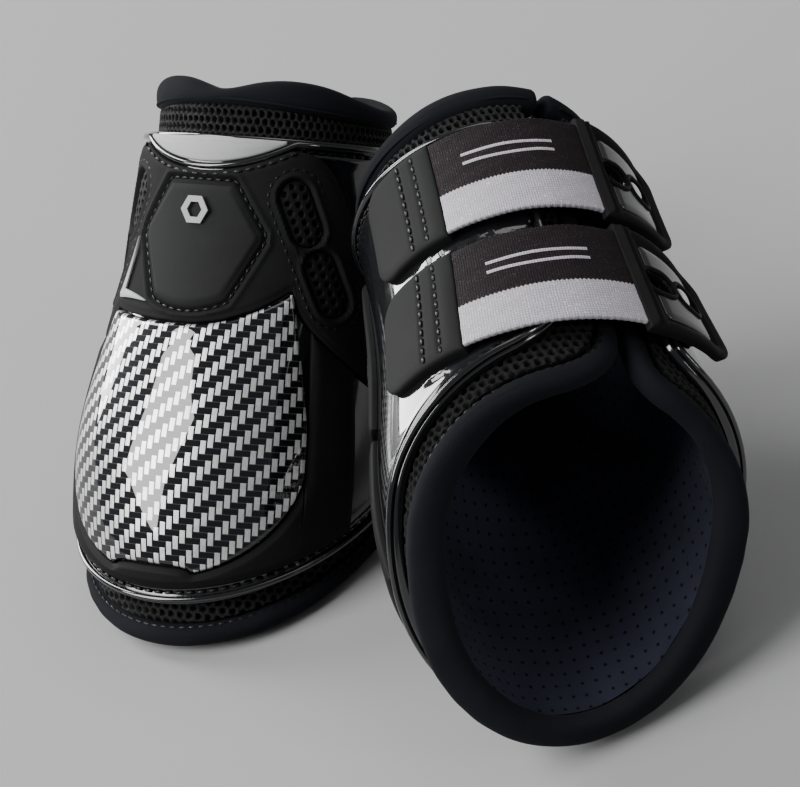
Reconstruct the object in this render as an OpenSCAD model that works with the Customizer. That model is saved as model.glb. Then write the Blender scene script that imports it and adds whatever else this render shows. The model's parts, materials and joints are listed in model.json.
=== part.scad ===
// A pair of horse fetlock boots: soft lined tubes with a hard outer shell, a cup at the
// back and two elastic straps at the front. Each boot is drawn once in its own frame:
// +Z up the leg, +Y to the back (the cup), -Y to the front (the closure), millimetres.
// An angle t runs from the middle of the back (0) round towards the strap anchors.

/* [Boot] */
// Height of a boot, with its soft edges
boot_h = 168; // [150:1:185]
// Half the width of the leg tube, to the shell's inner face
tube_half_w = 35; // [33:0.5:38]
// Depth of the tube from its axis to the back
tube_back = 36; // [34:0.5:39]
// Depth of the tube from its axis to the front
tube_front = 36; // [34:0.5:39]
// How far the cup stands out at each side
cup_side = 11.5; // [7:0.5:12]
// How far the cup stands out at the back
cup_back = 16; // [10:0.5:18]
// Height of the middle of the cup
cup_z = 50; // [45:1:55]
// Slope of the bottom rim
rim_slope = 39; // [36:1:41]

/* [Layers] */
// Thickness of the outer shell
shell_t = 2.2; // [1.8:0.1:2.4]
// Thickness of the spacer mesh
mesh_t = 2.3; // [2:0.1:2.5]
// Half the thickness of the soft binding along the bottom rim
rim_binding_half_t = 5; // [4:0.25:5.5]
// Radius of the binding along the two front edges
front_binding_r = 3.4; // [3:0.1:3.6]

/* [Straps] */
// Width of the elastic straps
elastic_w = 32; // [28:1:32]
// Height of the upper strap's centre line
upper_strap_z = 130; // [129:0.5:130]
// Height of the lower strap's centre line
lower_strap_z = 91; // [90:0.5:91.5]
// Radius of a stud's head
stud_head_r = 3.2; // [2.8:0.1:3.3]

/* [Pose of the pair] */
// Turn of the standing right boot about the vertical
right_turn = -32; // [-38:1:-25]
// How far the lying left boot's top end is raised
left_raise = 16; // [12:1:20]
// Turn of the lying left boot about the vertical
left_turn = 1; // [-2:1:6]
// Roll of the lying left boot about its own axis
left_roll = 26; // [20:1:30]

/* [Hidden] */
PIECES = [
    "shell", "shell_piping", "carbon_plate", "plate_bezel", "flex_panel", "badge_panel", "badge_emblem",
    "crescent_plate", "vent_inserts", "spacer_mesh", "impact_foam", "lining", "edge_binding", "top_collar",
    "upper_anchor", "lower_anchor", "upper_elastic", "lower_elastic", "upper_end_tab", "lower_end_tab",
    "upper_tab_panel", "lower_tab_panel", "stud_strip", "studs", "stud_washers"
];

// Radial places of the layers, counted outwards from the shell's inner face
layer_gap = 0.3;
mesh_out = -2 * layer_gap;
mesh_in = mesh_out - mesh_t;
foam_out = mesh_in - layer_gap;
foam_in = foam_out - 1.7;
lining_out = foam_in - layer_gap;
lining_in = lining_out - 1.8;
liner_mid = (mesh_out + lining_in) / 2;
overlay_in = shell_t + layer_gap;
overlay_out = overlay_in + 1.7;

// Angles of the two front edges, at the middle of their bindings, and of the shell's edges
anchor_edge_t = 189;
stud_edge_t = -159.5;
shell_anchor_edge_t = 175;
shell_stud_edge_t = -148;
collar_reach_t = 5;
anchor_corner_r = 15;
stud_corner_r = 7;

// Heights of the top edges
collar_half_h = 6.5;
collar_half_t = 4.6;
collar_wave = 1.5;
collar_z = boot_h - collar_half_h - collar_wave;
liner_top = collar_z - collar_half_h - layer_gap;
shell_top = liner_top - collar_wave - 1.5;
shell_inset = 14.5;

// Straps: the angles where each piece begins and ends
anchor_start_t = 100;
anchor_end_t = 138;
tab_start_t = 197;
tab_end_t = 240;
stud_t = 222;
seam_gap_t = 0.6;
anchor_out = 6;
elastic_t = 1.6;
elastic_in = 4.2;
elastic_rise = 1.6;
tab_in = 5.6;
tab_t = 2.6;
tab_curl = 2.5;

function bell(z, below, above) = exp(-pow((z - cup_z) / (z < cup_z ? below : above), 2));
function side_r(z) = tube_half_w + cup_side * bell(z, 82, 50);
function back_r(z) = tube_back + cup_back * bell(z, 70, 46);
function depth_r(t, z) = cos(t) > 0 ? back_r(z) : tube_front;

// A point at angle t and height z, a distance d outside the shell's inner face
function on_boot(t, z, d) = [(side_r(z) + d) * sin(t), (depth_r(t, z) + d) * cos(t), z];

// Direction of the outward normal at angle t, in degrees from +Y towards +X
function normal_t(t, z) = atan2(depth_r(t, z) * sin(t), side_r(z) * cos(t));

// Height of the plane that the boot's rim lies in, at the liner's middle
rim_back_y = back_r(0) + liner_mid;
function rim_z(t, steps = 5) =
    steps == 0 ? 20 : tan(rim_slope) * (rim_back_y - on_boot(t, rim_z(t, steps - 1), liner_mid)[1]);

function deg_per_mm() = 180 / (PI * tube_front);

// How far rounded corners lift an edge at angle t: radius r0 at the end t0 and r1 at the end t1
function rise(reach, r) = r - sqrt(r * r - pow(min(r, max(0, r - reach)), 2));
function corner_rise(t, t0, t1, r0, r1) =
    rise((t - t0) / deg_per_mm(), r0) + rise((t1 - t) / deg_per_mm(), r1);

// Column angles between t0 and t1, close together near the rounded corners
function corner_columns(t0, r, way) = [for (a = [0:22.5:67.5]) t0 + way * r * deg_per_mm() * (1 - cos(a))];
function reversed(list) = [for (i = [len(list) - 1:-1:0]) list[i]];
function columns(t0, t1, r0, r1, count) =
    let (inner0 = t0 + r0 * deg_per_mm(), inner1 = t1 - r1 * deg_per_mm())
    concat(
        corner_columns(t0, r0, 1),
        [for (i = [0:count]) inner0 + (inner1 - inner0) * i / count],
        reversed(corner_columns(t1, r1, -1))
    );
function even_columns(t0, t1, count) = [for (i = [0:count]) t0 + (t1 - t0) * i / count];

// The edge binding is an oval roll round the rim, as high as it is thick only near the two front edges.
// Its half thickness, how far it reaches square to the rim plane, and how steeply it climbs:
function binding_half_t(t) =
    let (near = min(t - stud_edge_t, anchor_edge_t - t), share = min(1, max(0, (near - 25) / 45)))
    front_binding_r + (rim_binding_half_t - front_binding_r) * share * share * (3 - 2 * share);
function binding_reach(t) =
    let (lean = sin(rim_slope) * cos(t))
    norm([binding_half_t(t) * lean, front_binding_r * sqrt(1 - lean * lean)]);
function rim_climb(t) = sqrt(1 + pow(tan(rim_slope) * sin(t), 2));

function even_rows(rows) = [for (i = [0:rows]) i / rows];

// A closed curved sheet: columns at the angles ts, with points at the shares rows_at of the way from
// low(t) to high(t), d_in to d_out thick, lifted outwards by lift(t), with a pocket(t, share) in its face
module sheet(ts, rows_at, d_in, d_out, low, high, lift = function (t) 0, pocket = function (t, share) 0) {
    cols = len(ts);
    rows = len(rows_at) - 1;
    layer = cols * (rows + 1);
    points = [
        for (face = [0, 1])
        for (t = ts)
        for (share = rows_at)
        on_boot(t, low(t) + (high(t) - low(t)) * share,
            lift(t) + (face == 0 ? d_in : d_out - pocket(t, share)))
    ];
    inner = [
        for (c = [0:cols - 2]) for (i = [0:rows - 1])
        let (a = c * (rows + 1) + i, b = a + rows + 1) each [[a, b, b + 1], [a, b + 1, a + 1]]
    ];
    outer = [for (f = inner) [f[0] + layer, f[2] + layer, f[1] + layer]];
    bottom = [
        for (c = [0:cols - 2])
        let (a = c * (rows + 1), b = a + rows + 1) each [[a, a + layer, b + layer], [a, b + layer, b]]
    ];
    top = [
        for (c = [0:cols - 2])
        let (a = c * (rows + 1) + rows, b = a + rows + 1) each [[a, b + layer, a + layer], [a, b, b + layer]]
    ];
    first = [for (i = [0:rows - 1]) each [[i, i + 1, i + 1 + layer], [i, i + 1 + layer, i + layer]]];
    tail = (cols - 1) * (rows + 1);
    last = [
        for (i = [tail:tail + rows - 1]) each [[i, i + 1 + layer, i + 1], [i, i + layer, i + 1 + layer]]
    ];
    polyhedron(points, concat(inner, outer, bottom, top, first, last));
}

// A soft roll along a path: oval rings square to the path, with a list of half thicknesses and half heights
module roll(path, half_t, half_h, sides, closed = false) {
    rings = len(path);
    points = [
        for (k = [0:rings - 1])
        let (
            ahead = path[closed ? (k + 1) % rings : min(k + 1, rings - 1)],
            behind = path[closed ? (k + rings - 1) % rings : max(k - 1, 0)],
            along = (ahead - behind) / norm(ahead - behind),
            away = cross(along, cross([path[k][0], path[k][1], 0], along)),
            out = away / norm(away),
            up = cross(along, out)
        )
        for (s = [0:sides - 1])
        path[k] + out * half_t[k] * cos(360 * s / sides) + up * half_h[k] * sin(360 * s / sides)
    ];
    spans = closed ? rings - 1 : rings - 2;
    walls = [
        for (k = [0:spans]) for (s = [0:sides - 1])
        let (a = k * sides, b = ((k + 1) % rings) * sides, n = (s + 1) % sides)
        each [[a + s, b + s, b + n], [a + s, b + n, a + n]]
    ];
    caps = closed ? [] : [
        [for (s = [0:sides - 1]) s],
        [for (s = [sides - 1:-1:0]) (rings - 1) * sides + s]
    ];
    polyhedron(points, concat(walls, caps));
}

// Places a child at angle t and height z, its +Z along the outward normal and its +X round the boot
module at(t, z, d) {
    translate(on_boot(t, z, d)) rotate([0, 0, -normal_t(t, z)]) rotate([-90, 0, 0]) children();
}

module both_sides() {
    children();
    mirror([1, 0, 0]) children();
}

module obround(length, width) {
    square([length - width, width], center = true);
    for (way = [-1, 1]) translate([way * (length - width) / 2, 0]) circle(d = width, $fn = 32);
}

// The studs' places, used by every piece that they pass through
module at_studs(d) {
    for (z = [upper_strap_z, lower_strap_z]) at(stud_t, z, d) children();
}

// The hard outer shell

shell_low = function (t) rim_z(t) + shell_inset
    + corner_rise(t, shell_stud_edge_t, shell_anchor_edge_t, stud_corner_r, anchor_corner_r);
shell_high = function (t) shell_top - corner_rise(t, shell_stud_edge_t, shell_anchor_edge_t, 7, 9);

module shell() {
    color("#0d0e10") difference() {
        sheet(columns(shell_stud_edge_t, shell_anchor_edge_t, stud_corner_r, anchor_corner_r, 28),
            even_rows(12), 0, shell_t, shell_low, shell_high);
        at_studs(-1) cylinder(h = 5, r = 1.75, $fn = 32);
    }
}

// A fine rolled lip just inside the shell's edge, dipping under the pale crescent at the back

crescent_t_max = 38;
crescent_low = function (t) 142 + 7 * pow(t / crescent_t_max, 2);
crescent_high = shell_top - 1;

piping_r = 0.9;
piping_d = overlay_in + piping_r;
piping_in = 1.6;
piping_clear = piping_r + layer_gap;
piping_reach_t = piping_in * deg_per_mm();
piping_ts = columns(shell_stud_edge_t + piping_reach_t, shell_anchor_edge_t - piping_reach_t,
    stud_corner_r - piping_in, anchor_corner_r - piping_in, 30);
piping_low_z = function (t) shell_low(t) + piping_in;
piping_high_z = function (t) min(shell_high(t) - piping_in,
    abs(t) < crescent_t_max + 10 ? crescent_low(t) - piping_clear : shell_top);

module shell_piping() {
    low = [for (t = piping_ts) on_boot(t, piping_low_z(t), piping_d)];
    high = [for (t = reversed(piping_ts)) on_boot(t, piping_high_z(t), piping_d)];
    radii = [for (p = concat(low, high)) piping_r];
    color("#17181a") roll(concat(low, high), radii, radii, 4, closed = true);
}

// The glossy woven-look plate on the cup

plate_t_max = 60;
plate_bottom = 24;
plate_mid_top = 95;
plate_ear_t = 44;
plate_ear_z = 106;
plate_side_z = 50;
plate_low = function (t)
    plate_bottom + (plate_side_z - plate_bottom) * (1 - sqrt(1 - pow(t / (plate_t_max + 1), 2)));
plate_high = function (t) abs(t) < plate_ear_t
    ? plate_mid_top + (plate_ear_z - plate_mid_top) * pow(t / plate_ear_t, 2)
    : plate_ear_z
        - (plate_ear_z - plate_side_z - 6) * pow((abs(t) - plate_ear_t) / (plate_t_max - plate_ear_t), 1.3);

module carbon_plate() {
    color("#8f949c") sheet(even_columns(-plate_t_max, plate_t_max, 20), even_rows(9),
        overlay_in + 0.2, overlay_out + 0.6, plate_low, plate_high);
}

// The matt frame below and beside the plate

bezel_w = 6;
bezel_t_max = plate_t_max + 8;
bezel_gap = 0.5;
bezel_low = function (t) max(plate_low(t) - bezel_gap - bezel_w, piping_low_z(t) + piping_clear);

module plate_bezel() {
    color("#2b2c2e") {
        sheet(even_columns(-plate_t_max, plate_t_max, 20), even_rows(1), overlay_in, overlay_out,
            bezel_low, function (t) plate_low(t) - bezel_gap);
        both_sides() sheet(even_columns(plate_t_max + 0.6, bezel_t_max, 2), even_rows(4),
            overlay_in, overlay_out,
            function (t) plate_low(plate_t_max) + (t - plate_t_max) * 0.8,
            function (t) flex_low(t) - bezel_gap);
    }
}

// The matt flexing panel above the plate, with a slanted vent at each side

flex_t_max = 78;
flex_side_z = 80;
flex_side_drop = 50;
vent_t = 50;
vent_z = 119;
vent_slant = 66;
vent_l = 46;
vent_w = 15;
insert_l = 20;
insert_w = 10;
flex_side_low = function (t) plate_ear_z
    - (plate_ear_z - flex_side_z) * pow(max(0, abs(t) - plate_ear_t) / (flex_t_max - plate_ear_t), 0.6);
flex_low = function (t) bezel_gap
    + (abs(t) < plate_ear_t
        ? plate_high(t)
        : max(flex_side_low(t), abs(t) < plate_t_max ? plate_high(t) : 0));
flex_top_gap = 2 * piping_clear + layer_gap;
flex_high = function (t) abs(t) < crescent_t_max
    ? crescent_low(t) - flex_top_gap
    : crescent_low(crescent_t_max) - flex_top_gap
        - flex_side_drop * pow((abs(t) - crescent_t_max) / (flex_t_max - crescent_t_max), 3);

module flex_panel() {
    color("#3a3b3c") difference() {
        sheet(even_columns(-flex_t_max, flex_t_max, 26), even_rows(6), overlay_in, overlay_out, flex_low,
            flex_high);
        both_sides() at(vent_t, vent_z, -2) rotate(vent_slant) linear_extrude(12) obround(vent_l, vent_w);
    }
}

// Four perforated pads in the vents: slanted obrounds, bent to the shell

vent_deg_per_mm = 180 / (PI * (tube_front + 5));
insert_gap = 1.6;
insert_r = insert_w / 2;
insert_reach = insert_l / 2 - insert_r;
insert_half_s = insert_reach * cos(vent_slant) + insert_r;

// Height of the pad's edge at s mm round the boot from its middle: way 1 for its upper edge, -1 for its lower
function insert_edge(s, way) =
    let (
        along = (s - way * insert_r * sin(vent_slant)) / cos(vent_slant),
        c = min(insert_reach, max(-insert_reach, along)),
        across = s - c * cos(vent_slant)
    )
    way * sqrt(max(0, insert_r * insert_r - across * across)) - c * sin(vent_slant);

module vent_insert(place) {
    middle_t = vent_t + place * cos(vent_slant) * vent_deg_per_mm;
    middle_z = vent_z - place * sin(vent_slant);
    ts = [for (a = [-75:15:75]) middle_t + sin(a) * insert_half_s * vent_deg_per_mm];
    sheet(ts, even_rows(2), overlay_in + 0.5, overlay_in + 1.4,
        function (t) middle_z + insert_edge((t - middle_t) / vent_deg_per_mm, -1),
        function (t) middle_z + insert_edge((t - middle_t) / vent_deg_per_mm, 1));
}

module vent_inserts() {
    color("#1b1c1e") both_sides() for (way = [-1, 1]) vent_insert(way * (insert_l + insert_gap) / 2);
}

// The six-sided badge and its plain emblem

badge_z = 121;
badge_t_max = 28;
badge_top_t = 15;
badge_high = function (t) abs(t) < badge_top_t
    ? badge_z + 17
    : badge_z + 1 + 16 * (badge_t_max - abs(t)) / (badge_t_max - badge_top_t);
badge_low = function (t) badge_z - 1 - 20 * sqrt(1 - pow(t / (badge_t_max + 0.5), 2));

module badge_panel() {
    color("#434446") sheet(even_columns(-badge_t_max, badge_t_max, 14), even_rows(2), overlay_out + layer_gap,
        overlay_out + 1.1, badge_low, badge_high);
}

module badge_emblem() {
    color("#c8cacd") at(0, badge_z + 7, overlay_out + 1.75) linear_extrude(0.5) difference() {
        circle(d = 9, $fn = 6);
        circle(d = 5, $fn = 6);
    }
}

// The pale crescent under the top edge

module crescent_plate() {
    color("#b9bbbd") sheet(even_columns(-crescent_t_max + 2, crescent_t_max - 2, 14), even_rows(1),
        overlay_in, overlay_in + 1.2, crescent_low, function (t) crescent_high);
}

// The soft layers inside the shell

liner_stud_t = stud_edge_t + front_binding_r * deg_per_mm() + 0.5;
liner_anchor_t = anchor_edge_t - front_binding_r * deg_per_mm() - 0.5;
liner_low = function (t) rim_z(t) + binding_reach(t) / cos(rim_slope)
    + (front_binding_r + layer_gap) * rim_climb(t)
    + corner_rise(t, liner_stud_t, liner_anchor_t, stud_corner_r - 3, anchor_corner_r - 3);
liner_high = function (t) liner_top + collar_wave * cos(2 * t);
liner_ts = columns(liner_stud_t, liner_anchor_t, stud_corner_r - 3, anchor_corner_r - 3, 28);
liner_rows = 8;

module spacer_mesh() {
    color("#141517") difference() {
        sheet(liner_ts, even_rows(liner_rows), mesh_in, mesh_out, liner_low, liner_high);
        at_studs(-2) cylinder(h = 5, r = 5.2, $fn = 32);
    }
}

module impact_foam() {
    color("#5b5f66") sheet([for (t = liner_ts) if (abs(t) < 122) t],
        [for (i = [1:liner_rows - 1]) i / liner_rows],
        foam_in, foam_out, liner_low, liner_high);
}

module lining() {
    color("#10131f") sheet(liner_ts, even_rows(liner_rows), lining_in, lining_out, liner_low, liner_high);
}

// The soft edges: one roll down a front edge, round the rim and up the other, and the collar on top

binding_top = liner_top - collar_wave - 0.5;

function front_edge(t, z_low, count) =
    [for (i = [0:count]) [t, binding_top + (z_low - binding_top) * i / count]];
function binding_z(t) = rim_z(t) + binding_reach(t) / cos(rim_slope);
function rim_corner(t0, way, r) = [
    for (a = [0:22.5:67.5])
    let (t = t0 + way * r * deg_per_mm() * (1 - cos(a)))
    [t, binding_z(t) + r * (1 - sin(a))]
];
function rim_run(t0, t1, count) = [for (t = even_columns(t0, t1, count)) [t, binding_z(t)]];
binding_path = concat(
    front_edge(stud_edge_t, binding_z(stud_edge_t) + stud_corner_r + 6, 4),
    rim_corner(stud_edge_t, 1, stud_corner_r),
    rim_run(stud_edge_t + stud_corner_r * deg_per_mm(), anchor_edge_t - anchor_corner_r * deg_per_mm(), 36),
    reversed(rim_corner(anchor_edge_t, -1, anchor_corner_r)),
    reversed(front_edge(anchor_edge_t, binding_z(anchor_edge_t) + anchor_corner_r + 6, 4))
);

module edge_binding() {
    path = [for (p = binding_path) on_boot(p[0], p[1], liner_mid)];
    half_ts = [for (p = binding_path) binding_half_t(p[0])];
    color("#0b0b0c") roll(path, half_ts, [for (p = path) front_binding_r], 8);
}

module top_collar() {
    ts = even_columns(stud_edge_t - collar_reach_t, anchor_edge_t + collar_reach_t, 32);
    path = [for (t = ts) on_boot(t, collar_z + collar_wave * cos(2 * t), liner_mid)];
    color("#0b0b0c") roll(path, [for (t = ts) collar_half_t], [for (t = ts) collar_half_h], 8);
}

// The straps: a moulded anchor on the shell, the elastic, and the moulded end tab with its panel

module anchor(z) {
    half = elastic_w / 2 + 1.5;
    round_t = anchor_end_t + 20;
    color("#2e2f31") sheet(columns(anchor_start_t, anchor_end_t, 5, 0.1, 4), even_rows(3),
        overlay_in, anchor_out,
        function (t) z - half + corner_rise(t, anchor_start_t, round_t, 5, 0.1),
        function (t) z + half - corner_rise(t, anchor_start_t, round_t, 5, 0.1));
}

strap_lift = function (t) elastic_rise * min(1, max(0, (t - anchor_end_t) / 40));

module elastic(z) {
    color("#8c8790") sheet(even_columns(anchor_end_t + seam_gap_t, tab_start_t - seam_gap_t, 10),
        even_rows(2), elastic_in, elastic_in + elastic_t,
        function (t) z - elastic_w / 2, function (t) z + elastic_w / 2, strap_lift);
}

tab_lift = function (t) tab_curl * pow(max(0, (t - stud_t - 8) / (tab_end_t - stud_t - 8)), 2);
tab_half = function (t) elastic_w / 2 + 2 - 4 * pow((t - tab_start_t) / (tab_end_t - tab_start_t), 2);
tab_holes_t = [stud_t - 15, stud_t];

module tab_hole(z) {
    for (t = tab_holes_t) at(t, z, 2) translate([1.1, 0, 0]) linear_extrude(14) obround(9.6, 7.4);
}

pocket_start_t = tab_start_t + 7;
pocket_end_t = stud_t + 11;
pocket_low = 0.14;
pocket_depth = 1;
wall_t = 0.6;
tab_ts = concat([tab_start_t, tab_start_t + 3.5, pocket_start_t - wall_t],
    even_columns(pocket_start_t, pocket_end_t, 6), even_columns(pocket_end_t + wall_t, tab_end_t, 3));
tab_rows = [0, pocket_low, pocket_low + 0.02, 0.5, 1 - pocket_low - 0.02, 1 - pocket_low, 1];
tab_pocket = function (t, share)
    t >= pocket_start_t && t <= pocket_end_t && share > pocket_low && share < 1 - pocket_low
        ? pocket_depth
        : 0;

module end_tab(z) {
    color("#242527") difference() {
        sheet(tab_ts, tab_rows, tab_in, tab_in + tab_t,
            function (t) z - tab_half(t), function (t) z + tab_half(t), tab_lift, tab_pocket);
        tab_hole(z);
    }
}

panel_share = 0.66;

module tab_panel(z) {
    panel_in = tab_in + tab_t - pocket_depth + 0.15;
    color("#55585c") difference() {
        sheet(even_columns(pocket_start_t + wall_t, pocket_end_t - wall_t, 6), even_rows(2),
            panel_in, panel_in + 0.6,
            function (t) z - tab_half(t) * panel_share, function (t) z + tab_half(t) * panel_share, tab_lift);
        tab_hole(z);
    }
}

// The studs, the strip that they stand on, and their backing washers

module stud_strip() {
    color("#1d1e20") difference() {
        sheet(even_columns(stud_t - 5, stud_t + 8, 3), even_rows(4), overlay_in, overlay_in + 1.2,
            function (t) lower_strap_z - 10, function (t) upper_strap_z + 10);
        at_studs(1) cylinder(h = 5, r = 1.75, $fn = 32);
    }
}

module studs() {
    head = tab_in + 1.2;
    strip_top = overlay_in + 1.4;
    color("#c9cbce") at_studs(0) rotate_extrude($fn = 40) polygon([
        [0, -1.7], [1.6, -1.7], [1.6, strip_top], [2.8, strip_top], [2.8, strip_top + 0.7],
        [1.8, strip_top + 0.9], [1.8, head], [stud_head_r, head], [stud_head_r, head + 0.9],
        [stud_head_r - 0.8, head + 1.4], [0, head + 1.6]
    ]);
}

module stud_washers() {
    color("#9fa2a6") at_studs(-1.6) difference() {
        cylinder(h = 0.8, r = 4.2, $fn = 40);
        translate([0, 0, -1]) cylinder(h = 3, r = 1.75, $fn = 32);
    }
}

// The pair: the right boot stands on its rim and the left boot lies on its cup beside it

right_place = [0, 0, -rim_back_y * sin(rim_slope)];

// Height of a point of the lying boot above its own origin, and the lowest such height of its cup and rim
function lying_z(p) = p[2] * sin(left_raise)
    - (p[1] * cos(left_roll) - p[0] * sin(left_roll)) * cos(left_raise);
cup_points = concat(
    [
        for (t = [-60:2:60]) for (share = [0:0.05:0.5])
        on_boot(t, plate_low(t) + (plate_high(t) - plate_low(t)) * share, overlay_out + 0.6)
    ],
    [for (t = [-60:2:60]) on_boot(t, bezel_low(t), overlay_out)],
    [for (t = [-60:2:60]) on_boot(t, piping_low_z(t), piping_d + piping_r)]
);
rim_drop = min([for (t = [-60:2:60]) lying_z(on_boot(t, binding_z(t), liner_mid))]) - rim_binding_half_t;
left_drop = min(rim_drop, min([for (p = cup_points) lying_z(p)]));
left_place = [107.8, -126.6, -left_drop];

// The middle of the pair's footprint, which becomes the origin
pair_middle = [60.5, 1.2, 0];

module right_boot() {
    translate(right_place - pair_middle) rotate([0, 0, right_turn]) rotate([-rim_slope, 0, 0])
        rotate([0, 0, 180]) children();
}

module left_boot() {
    translate(left_place - pair_middle) rotate([0, 0, left_turn]) rotate([left_raise - 90, 0, 0])
        rotate([0, 0, left_roll]) mirror([1, 0, 0]) children();
}

right_boot() shell();  // right_shell
right_boot() shell_piping();  // right_shell_piping
right_boot() carbon_plate();  // right_carbon_plate
right_boot() plate_bezel();  // right_plate_bezel
right_boot() flex_panel();  // right_flex_panel
right_boot() badge_panel();  // right_badge_panel
right_boot() badge_emblem();  // right_badge_emblem
right_boot() crescent_plate();  // right_crescent_plate
right_boot() vent_inserts();  // right_vent_inserts
right_boot() spacer_mesh();  // right_spacer_mesh
right_boot() impact_foam();  // right_impact_foam
right_boot() lining();  // right_lining
right_boot() edge_binding();  // right_edge_binding
right_boot() top_collar();  // right_top_collar
right_boot() anchor(upper_strap_z);  // right_upper_anchor
right_boot() anchor(lower_strap_z);  // right_lower_anchor
right_boot() elastic(upper_strap_z);  // right_upper_elastic
right_boot() elastic(lower_strap_z);  // right_lower_elastic
right_boot() end_tab(upper_strap_z);  // right_upper_end_tab
right_boot() end_tab(lower_strap_z);  // right_lower_end_tab
right_boot() tab_panel(upper_strap_z);  // right_upper_tab_panel
right_boot() tab_panel(lower_strap_z);  // right_lower_tab_panel
right_boot() stud_strip();  // right_stud_strip
right_boot() studs();  // right_studs
right_boot() stud_washers();  // right_stud_washers
left_boot() shell();  // left_shell
left_boot() shell_piping();  // left_shell_piping
left_boot() carbon_plate();  // left_carbon_plate
left_boot() plate_bezel();  // left_plate_bezel
left_boot() flex_panel();  // left_flex_panel
left_boot() badge_panel();  // left_badge_panel
left_boot() badge_emblem();  // left_badge_emblem
left_boot() crescent_plate();  // left_crescent_plate
left_boot() vent_inserts();  // left_vent_inserts
left_boot() spacer_mesh();  // left_spacer_mesh
left_boot() impact_foam();  // left_impact_foam
left_boot() lining();  // left_lining
left_boot() edge_binding();  // left_edge_binding
left_boot() top_collar();  // left_top_collar
left_boot() anchor(upper_strap_z);  // left_upper_anchor
left_boot() anchor(lower_strap_z);  // left_lower_anchor
left_boot() elastic(upper_strap_z);  // left_upper_elastic
left_boot() elastic(lower_strap_z);  // left_lower_elastic
left_boot() end_tab(upper_strap_z);  // left_upper_end_tab
left_boot() end_tab(lower_strap_z);  // left_lower_end_tab
left_boot() tab_panel(upper_strap_z);  // left_upper_tab_panel
left_boot() tab_panel(lower_strap_z);  // left_lower_tab_panel
left_boot() stud_strip();  // left_stud_strip
left_boot() studs();  // left_studs
left_boot() stud_washers();  // left_stud_washers
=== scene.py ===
"""Looks for a pair of horse fetlock boots. Shapes are worked out in each boot's own frame, in
millimetres: +Z up the leg, +Y to the back, an angle t in degrees from the back round towards the
strap anchors, and a distance d outside the shell's inner face."""
import json
import math

import bpy
import numpy as np
from mathutils import Matrix, Vector

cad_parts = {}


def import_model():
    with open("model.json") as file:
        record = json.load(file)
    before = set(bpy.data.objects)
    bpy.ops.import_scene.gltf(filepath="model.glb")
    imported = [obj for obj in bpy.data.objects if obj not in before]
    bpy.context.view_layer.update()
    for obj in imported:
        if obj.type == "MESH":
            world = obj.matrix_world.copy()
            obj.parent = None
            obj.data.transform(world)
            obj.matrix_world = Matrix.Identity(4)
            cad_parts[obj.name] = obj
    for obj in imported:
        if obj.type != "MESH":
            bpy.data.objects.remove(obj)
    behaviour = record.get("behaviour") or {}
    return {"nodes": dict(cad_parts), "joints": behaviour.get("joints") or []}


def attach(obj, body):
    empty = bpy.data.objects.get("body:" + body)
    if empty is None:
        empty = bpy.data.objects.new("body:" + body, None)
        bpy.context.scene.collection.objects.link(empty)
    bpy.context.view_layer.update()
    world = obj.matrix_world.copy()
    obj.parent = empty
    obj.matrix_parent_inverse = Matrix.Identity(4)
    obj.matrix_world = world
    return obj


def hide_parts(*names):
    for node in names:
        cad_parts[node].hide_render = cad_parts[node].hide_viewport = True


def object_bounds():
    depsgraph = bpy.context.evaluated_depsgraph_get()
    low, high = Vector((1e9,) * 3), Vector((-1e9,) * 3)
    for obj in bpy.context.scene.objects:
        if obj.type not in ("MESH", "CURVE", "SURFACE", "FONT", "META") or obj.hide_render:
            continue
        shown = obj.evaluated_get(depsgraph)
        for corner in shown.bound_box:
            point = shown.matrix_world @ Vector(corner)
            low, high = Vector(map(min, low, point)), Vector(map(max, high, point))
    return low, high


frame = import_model()
cad_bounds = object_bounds()

# The boot's shape, as in the CAD model
TUBE = 36.0
HALF_W = 35.0
CUP_SIDE, CUP_BACK, CUP_Z = 11.5, 16.0, 50.0
RIM_SLOPE = math.radians(39)
SHELL_T = 2.2
OVERLAY_IN, OVERLAY_OUT = 2.5, 4.2
MESH_OUT, MESH_IN = -0.6, -2.9
LINING_OUT, LINING_IN = -5.2, -7.0
LINER_MID = (MESH_OUT + LINING_IN) / 2
ANCHOR_EDGE_T, STUD_EDGE_T = 189.0, -159.5
SHELL_ANCHOR_T, SHELL_STUD_T = 175.0, -148.0
ANCHOR_CORNER, STUD_CORNER = 15.0, 7.0
SHELL_INSET, SHELL_TOP = 14.5, 150.2
LINER_TOP, LINER_WAVE = 153.2, 1.5
RIM_HALF_T, FRONT_R = 5.0, 3.4
COLLAR_Z, COLLAR_HALF_H, COLLAR_HALF_T, COLLAR_LIFT = 160.0, 6.5, 4.6, 3.6
STRAPS = {"upper": 130.0, "lower": 91.0}
ANCHOR_T0, STRAP_T0, TAB_T0, TAB_T1, STUD_T = 100.0, 138.0, 197.0, 240.0, 222.0
ELASTIC_HALF, TAB_HALF, ANCHOR_HALF = 16.0, 18.0, 16.6
HINGE_T, HINGE_D, TAB_HINGE_T, TAB_HINGE_D = 138.4, 6.4, 196.7, 8.6
DEG_PER_MM = 180 / (math.pi * TUBE)
MM = 0.001


def bell(z, below, above):
    return np.exp(-((z - CUP_Z) / np.where(z < CUP_Z, below, above)) ** 2)


def side_r(z):
    return HALF_W + CUP_SIDE * bell(z, 82, 50)


def back_r(z):
    return TUBE + CUP_BACK * bell(z, 70, 46)


def on_boot(t, z, d):
    t, z, d = np.broadcast_arrays(*(np.asarray(v, float) for v in (t, z, d)))
    a = np.radians(t)
    depth = np.where(np.cos(a) > 0, back_r(z), TUBE)
    return np.stack([(side_r(z) + d) * np.sin(a), (depth + d) * np.cos(a), z], -1)


RIM_BACK_Y = back_r(np.array(0.0)) + LINER_MID


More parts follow.
